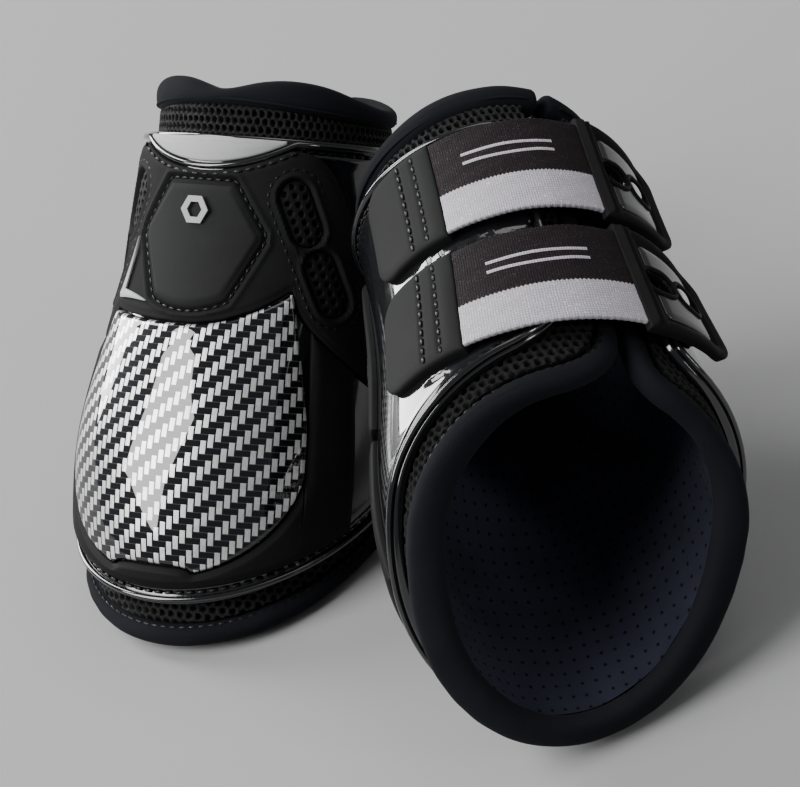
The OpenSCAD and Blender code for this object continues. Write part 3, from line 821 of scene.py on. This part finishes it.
def plate_high(t):
    a = np.abs(t)
    ear = np.where(t > 0, ANCHOR_EAR_Z, EAR_Z)
    drop = (ear - PLATE_SIDE_Z - 6) * (np.maximum(a - EAR_T, 0) / (PLATE_T - EAR_T)) ** 1.3
    return np.where(a < EAR_T, PLATE_TOP + (ear - PLATE_TOP) * (t / EAR_T) ** 2, ear - drop)


def carbon_plate(side):
    ts = spaced(-PLATE_T, PLATE_T, FINE, 104, 0.9)
    zs = rows(plate_low(ts) + notch(ts), plate_high(ts), FINE, 62)
    shape = slab(ts, zs, OVERLAY_OUT + 0.7, OVERLAY_IN, 48.0, crown(0.5, 0, 9), 1.3)
    remake(side, "carbon_plate", shape, CARBON)


def bezel_low(t):
    return shell_low(t) + 4.7


def flex_low(t):
    a = np.abs(t)
    ear = np.where(t > 0, ANCHOR_EAR_Z, EAR_Z)
    side = ear - (ear - FLEX_SIDE_Z) * (np.maximum(0, a - EAR_T) / (FLEX_T - EAR_T)) ** 0.6
    plate = np.where(a < PLATE_T, plate_high(np.clip(t, -PLATE_T, PLATE_T)), 0)
    return 0.5 + np.where(a < EAR_T, plate_high(t), np.maximum(side, plate))


def plate_bezel(side):
    ts = spaced(-BEZEL_T, BEZEL_T, FINE, 110, 0.85)
    ts = np.unique(np.concatenate([ts, [-PLATE_T - 0.3, PLATE_T + 0.3]]))
    beside = np.abs(ts) > PLATE_T + 0.2
    under = plate_low(np.clip(ts, -PLATE_T, PLATE_T)) - 0.4 + notch(ts)
    zs = rows(bezel_low(ts), np.where(beside, flex_low(ts) - 0.5, under), FINE, 22)
    shape = slab(ts, zs, OVERLAY_OUT, OVERLAY_IN - 0.2, 48.0, crown(0.7, 0.4, 2.4), 0.9)
    remake(side, "plate_bezel", shape, DARK_RUBBER)


def vent_axes(t, z):
    """Millimetres along and across the vent on the point's own side."""
    s, h = np.radians(np.abs(t) - VENT_T) * VENT_R, z - VENT_Z
    return s * VENT_COS - h * VENT_SIN, s * VENT_SIN + h * VENT_COS


def vent_point(a, b, way):
    """The angle and height of a point given along and across the vent on side way."""
    s = a * VENT_COS + b * VENT_SIN
    h = -a * VENT_SIN + b * VENT_COS
    return way * (VENT_T + np.degrees(s / VENT_R)), VENT_Z + h


def obround_distance(a, b, length, width):
    return np.hypot(np.maximum(np.abs(a) - (length - width) / 2, 0), b) - width / 2


def vent_distance(t, z):
    """Distance outside the nearer of a vent's two pads."""
    a, b = vent_axes(t, z)
    return obround_distance(np.abs(a) - (INSERT_L + INSERT_GAP) / 2, b, INSERT_L + 0.8, INSERT_W + 0.8)


def obround_loop(length, width, count=60):
    a = np.linspace(0, 2 * math.pi, count, endpoint=False)
    reach = (length - width) / 2
    return np.cos(a) * width / 2 + np.sign(np.cos(a)) * reach, np.sin(a) * width / 2


def badge_low(t):
    a = np.abs(t)
    slope = BADGE_Z - 1 - 17 * (BADGE_T - a) / (BADGE_T - BADGE_FOOT_T)
    return np.where(a < BADGE_FOOT_T, BADGE_Z - 21 + 3 * (t / BADGE_FOOT_T) ** 2, slope)


def badge_high(t):
    a = np.abs(t)
    slope = BADGE_Z + 1 + 14 * (BADGE_T - a) / (BADGE_T - BADGE_TOP_T)
    return np.where(a < BADGE_TOP_T, BADGE_Z + 15, slope)


def badge_outline():
    """The badge's six sides as one line of angles and heights, over the top and back underneath."""
    def side(start, end, count):
        return np.linspace(start, end, count)[:-1]
    ts = np.concatenate([side(-BADGE_T, -BADGE_TOP_T, 10), side(-BADGE_TOP_T, BADGE_TOP_T, 12),
                         side(BADGE_TOP_T, BADGE_T, 10)])
    back = np.concatenate([side(BADGE_T, BADGE_FOOT_T, 10), side(BADGE_FOOT_T, -BADGE_FOOT_T, 16),
                           side(-BADGE_FOOT_T, -BADGE_T, 10), [-BADGE_T]])
    return np.concatenate([ts, back]), np.concatenate([badge_high(ts), badge_low(back)])


def badge_distance(t, z):
    loop = flat_place(*badge_outline(), VENT_R)
    d = loop_distance(flat_place(t, z, VENT_R), loop)
    inside = (np.abs(t) < BADGE_T) & (z < badge_high(t)) & (z > badge_low(t))
    return np.where(inside, -d, d)


def flex_relief(t, z, e):
    """Sunk vents with a raised rim, a groove round the badge, and a border line along the edges."""
    vent = vent_distance(t, z)
    sunk = -1.6 * smooth(-vent, -0.3, 0.4)
    rim = 0.45 * hump(vent, 1.0, 0.6)
    badge = badge_distance(t, z)
    groove = -1.1 * hump(badge, 1.1, 0.7) + 0.5 * hump(badge, 2.7, 0.7)
    return sunk + rim + groove + 0.35 * smooth(e, 1.0, 2.6)


def flex_high(t):
    a = np.abs(t)
    side = crescent_low(CRESCENT_T) - 2.4 - 50 * (np.maximum(a - CRESCENT_T, 0) / (FLEX_T - CRESCENT_T)) ** 3
    return np.where(a < CRESCENT_T, crescent_low(t) - 2.4, side)


def flex_panel(side):
    ts = spaced(-FLEX_T, FLEX_T, FINE, 170, 0.72)
    zs = rows(flex_low(ts), flex_high(ts), FINE, 78)
    shape = slab(ts, zs, OVERLAY_OUT, OVERLAY_IN - 0.2, VENT_R, flex_relief, 0.9)
    remake(side, "flex_panel", shape, PANEL_RUBBER)
    a, b = obround_loop(VENT_L + 1.6, VENT_W + 1.6)
    rows_of_thread = Shape()
    for way in (-1, 1):
        t, z = vent_point(a, b, way)
        rows_of_thread.join(stitches(on_boot(t, z, OVERLAY_OUT + 0.25), 2.9, 1.9, 0.36, True))
    t, z = badge_outline()
    grow = 1.06
    line = on_boot(t * grow, BADGE_Z + (z - BADGE_Z) * grow, OVERLAY_OUT - 0.25)
    rows_of_thread.join(stitches(line, 2.9, 2.0, 0.36, True))
    build(side, "panel_stitches", rows_of_thread, "boot", THREAD)


def insert_pad(middle, way):
    """One perforated pad, worked out on its own flat grid and bent to the shell."""
    u = np.linspace(-1, 1, 61)[:, None]
    v = np.linspace(-1, 1, 33)[None]
    half_l, half_w = INSERT_L / 2, INSERT_W / 2
    reach = half_l - half_w
    a = u * half_l
    cap = np.sqrt(np.clip(half_w ** 2 - np.clip(np.abs(a) - reach, 0, None) ** 2, 0.01, None))
    b = v * cap
    a = a + 0 * b
    edge = -obround_distance(a, b, INSERT_L, INSERT_W)
    step_a, step_b = 2.75, 2.9
    holes = np.full(a.shape, 9.0)
    for i in range(-3, 4):
        for j in (-1, 0, 1):
            holes = np.minimum(holes, np.hypot(a - step_a * (i + 0.5 * (j % 2)), b - step_b * j))
    swell = 0.5 * smooth(edge, 0, 2.5) - round_edge(edge, 0.5)
    pit = -1.0 * smooth(-holes, -0.95, -0.65)
    t, z = vent_point(a + middle, b, way)
    out = on_boot(t, z, OVERLAY_IN + 1.0 + swell + pit)
    inn = on_boot(t, z, OVERLAY_IN - 0.2)
    lay = np.stack([a, b, pit], -1)
    if way < 0:
        out, inn, lay = out[:, ::-1], inn[:, ::-1], lay[:, ::-1]
    return closed_grid(out, inn, lay)


def vent_inserts(side):
    shape = Shape()
    for way in (-1, 1):
        for place in (-1, 1):
            shape.join(insert_pad(place * (INSERT_L + INSERT_GAP) / 2, way))
    remake(side, "vent_inserts", shape, VENT_RUBBER)


def badge(side):
    ts = spaced(-BADGE_T, BADGE_T, FINE, 60, 0.72)
    zs = rows(badge_low(ts), badge_high(ts), FINE, 40)
    shape = slab(ts, zs, OVERLAY_OUT + 0.1, OVERLAY_OUT - 0.6, VENT_R, crown(0.9, 0, 2.2), 0.5)
    remake(side, "badge_panel", shape, BADGE_RUBBER)
    accent = Shape()
    share = np.linspace(0, 1, 40)
    accent.join(sliver(31.5 + 6 * share, 119 - 17 * share, 0.12 + 1.2 * share ** 1.2))
    accent.join(sliver(38.5 - 20 * share, 102.2 - 1.6 * share ** 2, 0.1 + 1.3 * (1 - share) ** 0.8))
    build(side, "badge_accent", accent, "boot", SILVER)


def sliver(t, z, half):
    """A thin plate along a line of angles and heights, its half width given at each."""
    share = np.linspace(-1, 1, 7)[:, None]
    dt, dz = np.gradient(np.radians(t) * VENT_R), np.gradient(z)
    size = np.hypot(dt, dz)
    tt = t[None] + np.degrees(-dz / size * half / VENT_R)[None] * share
    zz = z[None] + (dt / size * half)[None] * share
    lift = OVERLAY_OUT + 0.95
    way = 1 if t[-1] > t[0] else -1
    out = on_boot(tt, zz, lift + 0.3 + 0.3 * (1 - share ** 2))[::-way]
    return closed_grid(out, on_boot(tt, zz, lift - 0.2)[::-way], np.zeros(out.shape))


def crescent(side):
    ts = spaced(-CRESCENT_T + 2, CRESCENT_T - 2, FINE, 60, 0.72)
    zs = rows(crescent_low(ts), np.full(ts.shape, SHELL_TOP - 0.9), FINE, 8)
    shape = slab(ts, zs, OVERLAY_IN + 1.3, OVERLAY_IN - 0.25, VENT_R, crown(0.2, 0, 3), 0.7)
    remake(side, "crescent_plate", shape, SILVER)


# Soft layers

MESH_PITCH, MESH_CELL, MESH_R = 2.7, 0.55, 42.0


def pits(t, z, e):
    """Round holes in staggered rows, sunk in the mesh."""
    s = np.radians(t) * MESH_R
    dist = np.full(np.shape(s), 9.0)
    for shift in (0.0, 0.5):
        x = s - MESH_PITCH * (np.round(s / MESH_PITCH - shift) + shift)
        tall = MESH_PITCH * math.sqrt(3)
        y = z - tall * (np.round(z / tall - shift) + shift)
        dist = np.minimum(dist, np.hypot(x, y))
    return -1.25 * smooth(-dist, -1.0, -0.62)


def mesh_patch(t0, t1, low, high):
    ts = np.linspace(t0, t1, int((t1 - t0) * 0.75 / MESH_CELL) + 2)
    lo, hi = low(ts), high(ts)
    count = int((hi - lo).mean() / MESH_CELL) + 2
    zs = lo[:, None] + (hi - lo)[:, None] * np.linspace(0, 1, count)[None]
    return slab(ts, zs, MESH_OUT + 0.1, MESH_IN, MESH_R, pits, 0.3)


def mesh_band(side):
    """The mesh shows only between the shell's edge and the soft edges, so it is made as four bands."""

    def foot_top(t):
        return rim_z(t) + SHELL_INSET + 2.5

    def head_foot(t):
        return np.full(t.shape, SHELL_TOP - 9.5)

    shape = mesh_patch(LINER_T0, LINER_T1, liner_low, foot_top)
    shape.join(mesh_patch(LINER_T0, LINER_T1, head_foot, lambda t: liner_high(t) + COLLAR_LIFT + 0.6))
    shape.join(mesh_patch(LINER_T0, SHELL_STUD_T + 10, foot_top, head_foot))
    shape.join(mesh_patch(SHELL_ANCHOR_T - 20, LINER_T1, foot_top, head_foot))
    build(side, "mesh_band", shape, "boot", MESH, ["spacer_mesh"])


def lining(side):
    ts = spaced(LINER_T0, LINER_T1, FINE + [2.5, 4, 6, 8, 10, 12], 130, 0.6)
    zs = rows(liner_low(ts), liner_high(ts) + COLLAR_LIFT, FINE, 56)
    t = columns(ts, zs)
    puff = (0.35 * np.sin(np.radians(t) * 7 + zs * 0.05) * np.sin(zs * 0.11)
            + 0.25 * np.sin(np.radians(t) * 13 - zs * 0.09))
    out = on_boot(t, zs, LINING_OUT)
    inn = on_boot(t, zs, LINING_IN + 0.3 + puff)
    lay = np.stack([np.radians(t) * 44, zs, puff], -1)
    remake(side, "lining", closed_grid(out, inn, lay), LINING)


def creases(depth, rate):
    """Soft irregular puckers along a roll, the same on each run."""
    def ripple(s, a):
        slow = np.sin(s * rate + 1.7 * np.sin(s * 0.071)) * np.sin(s * rate * 0.37 + a)
        fine = 0.45 * np.sin(s * rate * 3.1 + 2.0 * np.sin(s * 0.13) + 2 * a)
        return 1 + depth * (slow + fine)
    return ripple


def binding_path():
    """Angles and heights down one front edge, round the rim and up the other."""
    top = LINER_TOP - LINER_WAVE - 0.5

    def front(t, r):
        return [(t, z) for z in np.linspace(top, float(binding_z(np.array(t))) + r + 1, 30)]

    def corner(t0, way, r):
        a = np.radians(np.arange(0, 90, 7.5))
        t = t0 + way * r * DEG_PER_MM * (1 - np.cos(a))
        return list(zip(t, binding_z(t) + r * (1 - np.sin(a))))

    run = np.linspace(STUD_EDGE_T + STUD_CORNER * DEG_PER_MM, ANCHOR_EDGE_T - ANCHOR_CORNER * DEG_PER_MM, 200)
    points = front(STUD_EDGE_T, STUD_CORNER)
    points += corner(STUD_EDGE_T, 1, STUD_CORNER) + list(zip(run, binding_z(run)))
    points += corner(ANCHOR_EDGE_T, -1, ANCHOR_CORNER)[::-1]
    points += front(ANCHOR_EDGE_T, ANCHOR_CORNER)[::-1]
    return np.array(points)


def edge_binding(side):
    tz = binding_path()
    path = np.column_stack([on_boot(tz[:, 0], tz[:, 1], LINER_MID), binding_half_t(tz[:, 0])])
    path = resample(path, 1.5)
    centre, half_t = path[:, :3], path[:, 3]
    half_h = np.full(len(path), FRONT_R)
    shape = roll(centre, half_t, half_h, 28, power=0.85, ripple=creases(0.022, 0.16))
    piece = remake(side, "edge_binding", shape, JERSEY)
    out, up = out_of(centre, frames(centre, False))
    seam = (centre + out * half_t[:, None] * 0.80 + up * FRONT_R * 0.66)[8:-8]
    build(side, "binding_stitches", stitches(seam, 3.0, 2.2, 0.35), "boot", THREAD)


def top_collar(side):
    ts = np.linspace(STUD_EDGE_T - 5, ANCHOR_EDGE_T + 5, 260)
    dip = (1.4 + 3.2 * hump(ts, -2, 18) - 1.8 * hump(ts, -46, 26) - 1.4 * hump(ts, 40, 22)
           + 2.0 * hump(ts, -100, 30))
    foot = COLLAR_Z + LINER_WAVE * np.cos(np.radians(2 * ts)) - COLLAR_HALF_H + COLLAR_LIFT
    half_h = COLLAR_HALF_H - (COLLAR_LIFT + dip) / 2
    lean = 0.5 * np.sin(np.radians(3 * ts))
    path = on_boot(ts, foot + half_h, LINER_MID + lean)
    ends = smooth(np.minimum(ts - ts[0], ts[-1] - ts), -3, 4)
    shape = roll(path, COLLAR_HALF_T * ends, half_h * ends, 32, power=0.8, ripple=creases(0.02, 0.12))
    piece = remake(side, "top_collar", shape, JERSEY)
    line = bead(ts[6:-6], (foot + 1.9)[6:-6], LINER_MID + COLLAR_HALF_T - 0.35, 0.4, 6)
    build(side, "collar_seam", line, "boot", JERSEY)


# Straps

STRAP_R = 40.0
ELASTIC_IN, ELASTIC_T = 4.2, 1.6
TAB_IN, TAB_OUT = 5.6, 8.2
SEAM_TS = (STRAP_T0 - 8, STRAP_T0 - 15)
HOLE_TS = (STUD_T - 15, STUD_T)
HOLE_L, HOLE_W, HOLE_SHIFT = 9.6, 7.4, 1.1
TAB_R = TUBE + 6
PANEL_INSET = 8


def anchor(side, level):
    z0 = STRAPS[level]
    half = ANCHOR_HALF
    ts = spaced(ANCHOR_T0, STRAP_T0, FINE + [2.2, 3.2, 4.4, 5.5], 44, 0.70)
    corner = rise(np.maximum(ts - ANCHOR_T0, 0) * 0.7, 7.5)
    zs = rows(z0 - half + corner, z0 + half - corner, FINE, 34)
    outer = (4.5 + 1.3 * smooth(ts, ANCHOR_T0, STRAP_T0))[:, None]

    def relief(t, z, e):
        groove = sum(-0.55 * hump(np.radians(t - line) * STRAP_R, 0, 0.7) for line in SEAM_TS)
        return groove * smooth(e, 1, 2.5) + 0.25 * smooth(e, 1.0, 2.2)
    shape = slab(ts, zs, outer, OVERLAY_IN - 0.3, STRAP_R, relief, 1.2)
    remake(side, "anchor", shape, ANCHOR_RUBBER, level=level)
    sewn = Shape()
    for line in SEAM_TS:
        run = np.linspace(z0 - half + 2.6, z0 + half - 2.6, 40)
        sewn.join(stitches(on_boot(line, run, 5.5), 3.1, 2.2, 0.5))
    build(side, f"{level}_anchor_stitches", sewn, "boot", THREAD)


def strap_lift(t):
    return 1.6 * np.clip((t - STRAP_T0) / 40, 0, 1)


def elastic(side, level):
    z0 = STRAPS[level]
    ts = np.linspace(STRAP_T0 + 0.2, TAB_T0 - 0.2, 132)
    s = np.radians(ts - STRAP_T0) * STRAP_R
    half = ELASTIC_HALF - 0.15 + 0.22 * np.abs(np.sin(s * math.pi / 1.6))
    zs = rows(z0 - half, z0 + half, FINE, 34)
    t = columns(ts, zs)
    flat = np.stack([columns(s, zs), zs - z0], -1)
    e = np.minimum(zs - zs[:, :1], zs[:, -1:] - zs)
    waves = 0.12 * np.sin(flat[..., 1] * 1.05) * np.sin(flat[..., 0] * 0.35 + 1)
    base = ELASTIC_IN + strap_lift(t)
    out = on_boot(t, zs, base + ELASTIC_T - round_edge(e, 0.7) + waves)
    inn = on_boot(t, zs, base + round_edge(e, 0.7) + waves)
    lay = np.dstack([flat, waves])
    shape = closed_grid(out, inn, lay)
    remake(side, "elastic", shape, ELASTIC, f"{level}_strap", level)


def tab_lift(t):
    return 2.5 * np.maximum(0, (t - STUD_T - 8) / (TAB_T1 - STUD_T - 8)) ** 2


def tab_half(t):
    return TAB_HALF - 4 * ((t - TAB_T0) / (TAB_T1 - TAB_T0)) ** 2


def tab_holes(level):
    def distance(t, z):
        best = np.full(np.shape(t), 99.0)
        for hole_t in HOLE_TS:
            a = np.radians(t - hole_t) * TAB_R - HOLE_SHIFT
            best = np.minimum(best, obround_distance(a, z - STRAPS[level], HOLE_L, HOLE_W))
        return best
    return distance


def end_tab(side, level):
    z0 = STRAPS[level]
    ts = spaced(TAB_T0, TAB_T1, FINE, 66, 0.74)
    half = tab_half(ts) - rise(np.maximum(TAB_T1 - ts, 0) * 0.74, 5.0)
    zs = rows(z0 - half, z0 + half, FINE, 46)

    def relief(t, z, e):
        s = np.radians(t - TAB_T0) * TAB_R
        ribs = 0.8 * (hump(s, 1.7, 0.6) + hump(s, 3.6, 0.6)) * smooth(e, 0.2, 1.2)
        inner = np.minimum(np.minimum(e - 3.6, s - 5.6), np.radians(TAB_T1 - 5 - t) * TAB_R)
        return ribs - 1.1 * smooth(inner, 0, 0.8) + 0.35 * hump(e, 1.8, 1.0)
    curl = tab_lift(ts)[:, None]
    shape = slab(ts, zs, TAB_OUT + curl, TAB_IN + curl, TAB_R, relief, 0.9, tab_holes(level))
    remake(side, "end_tab", shape, DARK_RUBBER, f"{level}_tab", level)
    ts = spaced(TAB_T0 + PANEL_INSET + 0.2, TAB_T1 - PANEL_INSET, FINE, 50, 0.74)
    half = tab_half(ts) * 0.72 - rise(np.maximum(ts - TAB_T0 - PANEL_INSET - 0.2, 0) * 0.74, 2.0)
    half = half - rise(np.maximum(TAB_T1 - PANEL_INSET - ts, 0) * 0.74, 3.0)
    zs = rows(z0 - half, z0 + half, FINE, 36)
    curl = tab_lift(ts)[:, None]
    shape = slab(ts, zs, TAB_OUT - 0.3 + curl, 6.9 + curl, TAB_R, crown(0.25, 0, 2), 0.5, tab_holes(level))
    remake(side, "tab_panel", shape, GREY_GLOSS, f"{level}_tab", level)
    a, b = obround_loop(HOLE_L + 1.2, HOLE_W + 1.2, 48)
    rims = Shape()
    for hole_t in HOLE_TS:
        t = hole_t + np.degrees((a + HOLE_SHIFT) / TAB_R)
        rims.join(bead(t, z0 + b, TAB_OUT - 0.1, 0.75, closed=True, step=0.6))
    build(side, f"{level}_hole_rims", rims, f"{level}_tab", BLACK_RUBBER)


def stud_strip(side):
    ts = spaced(STUD_T - 5 - 360, STUD_T + 8 - 360, FINE, 14, 0.65)
    zs = rows(np.full(ts.shape, 81.0), np.full(ts.shape, 140.0), FINE, 50)

    def relief(t, z, e):
        around = np.radians(t + 360 - STUD_T) * TUBE
        near = np.min([np.hypot(around, z - height) for height in STRAPS.values()], 0)
        return 0.35 * hump(near, 4.0, 0.8)
    shape = slab(ts, zs, 3.7, OVERLAY_IN - 0.25, 38.0, relief, 0.7)
    remake(side, "stud_strip", shape, TAB_RUBBER)


def studs(side):
    shape = Shape()
    foot_and_neck = [(1.6, -1.6), (1.6, 3.8), (2.8, 3.8), (2.85, 4.3), (2.5, 4.6), (1.85, 4.8), (1.8, 6.6)]
    head = [(2.6, 6.75), (3.1, 6.9), (3.25, 7.2), (3.2, 7.6), (2.9, 8.0), (2.3, 8.3), (1.5, 8.45),
            (0.7, 8.5), (0.1, 8.5)]
    for height in STRAPS.values():
        shape.join(lathe(foot_and_neck + head, STUD_T, height))
    remake(side, "studs", shape, STUD_METAL, smooth_angle=35)


def carried_over(side):
    """CAD nodes whose shape is right: they only take a finished material."""
    for node, material in (("badge_emblem", SILVER), ("impact_foam", FOAM), ("stud_washers", WASHER_METAL)):
        piece = frame["nodes"][f"{side}_{node}"]
        piece.data.materials.clear()
        piece.data.materials.append(material)


for side in PLACES:
    for make in (shell, shell_lip, carbon_plate, plate_bezel, flex_panel, vent_inserts, badge, crescent,
                 mesh_band, lining, edge_binding, top_collar):
        make(side)
    for level in STRAPS:
        for make in (anchor, elastic, end_tab):
            make(side, level)
    for make in (stud_strip, studs, carried_over):
        make(side)


# Floor, lights and camera

FLOOR_DARK, FLOOR_PALE = 0.252, 0.259
WORLD_COLOUR, WORLD_STRENGTH = (0.5, 0.51, 0.53, 1), 0.38
CAMERA_AZIMUTH, CAMERA_ELEVATION, CAMERA_LEAN = (math.radians(a) for a in (-2.98, 37.0, -16.9))
CAMERA_LENS, CAMERA_DISTANCE = 127.8, 0.802
AIM_SHIFT, AIM_RIGHT, AIM_DOWN = Vector((0.94, -3.25, 1.54)) * MM, 0.0103, 0.0105


def floor():
    m = Nodes("pale_floor", Specular_IOR_Level=0.1)
    m.set(Base_Color=m.mix(m.noise(3), grey(FLOOR_DARK), grey(FLOOR_PALE)),
          Roughness=m.ramp(m.noise(80), 0, 1, 0.8, 0.95))
    mesh = bpy.data.meshes.new("floor")
    mesh.from_pydata([(-6, -6, 0), (6, -6, 0), (6, 9, 0), (-6, 9, 0)], [], [(0, 1, 2, 3)])
    mesh.materials.append(m.material)
    piece = bpy.data.objects.new("floor", mesh)
    bpy.context.scene.collection.objects.link(piece)


def softbox(name, place, target, width, height, power):
    data = bpy.data.lights.new(name, "AREA")
    data.shape, data.size, data.size_y, data.energy = "RECTANGLE", width, height, power
    lamp = bpy.data.objects.new(name, data)
    bpy.context.scene.collection.objects.link(lamp)
    lamp.location = place
    lamp.rotation_euler = (Vector(target) - Vector(place)).to_track_quat("-Z", "Y").to_euler()


def camera():
    """A camera off the middle of the boots' box, turned about its line of sight by its lean."""
    azimuth, elevation, lean = CAMERA_AZIMUTH, CAMERA_ELEVATION, CAMERA_LEAN
    away = Vector((-math.sin(azimuth) * math.cos(elevation), -math.cos(azimuth) * math.cos(elevation),
                   math.sin(elevation)))
    right = Vector((math.cos(azimuth), -math.sin(azimuth), 0))
    up = right.cross(-away)
    right, up = right * math.cos(lean) + up * math.sin(lean), up * math.cos(lean) - right * math.sin(lean)
    low, high = (Vector(corner) for corner in cad_bounds)
    aim = (low + high) / 2 + AIM_SHIFT + right * AIM_RIGHT - up * AIM_DOWN
    data = bpy.data.cameras.new("camera")
    data.lens = CAMERA_LENS
    eye = bpy.data.objects.new("camera", data)
    bpy.context.scene.collection.objects.link(eye)
    turn = Matrix((right, up, away)).transposed().to_4x4()
    eye.matrix_world = Matrix.Translation(aim + away * CAMERA_DISTANCE) @ turn
    bpy.context.scene.camera = eye


def world():
    backdrop = bpy.data.worlds.new("studio")
    bpy.context.scene.world = backdrop
    backdrop.use_nodes = True
    background = backdrop.node_tree.nodes["Background"]
    background.inputs[0].default_value = WORLD_COLOUR
    background.inputs[1].default_value = WORLD_STRENGTH


floor()
world()
softbox("key", (-3.16, -0.85, 2.99), (0, 0, 0.05), width=2.7, height=3.6, power=430)
softbox("back_strip", (-1.41, 1.41, 0.98), (0, 0, 0.08), width=0.7, height=1.9, power=84)
softbox("side_strip", (1.70, -1.24, 0.80), (0, 0, 0.10), width=0.24, height=1.0, power=12)
softbox("overhead", (1.0, 0.8, 2.6), (0.3, 0.2, 0), width=2.0, height=2.0, power=24)
camera()
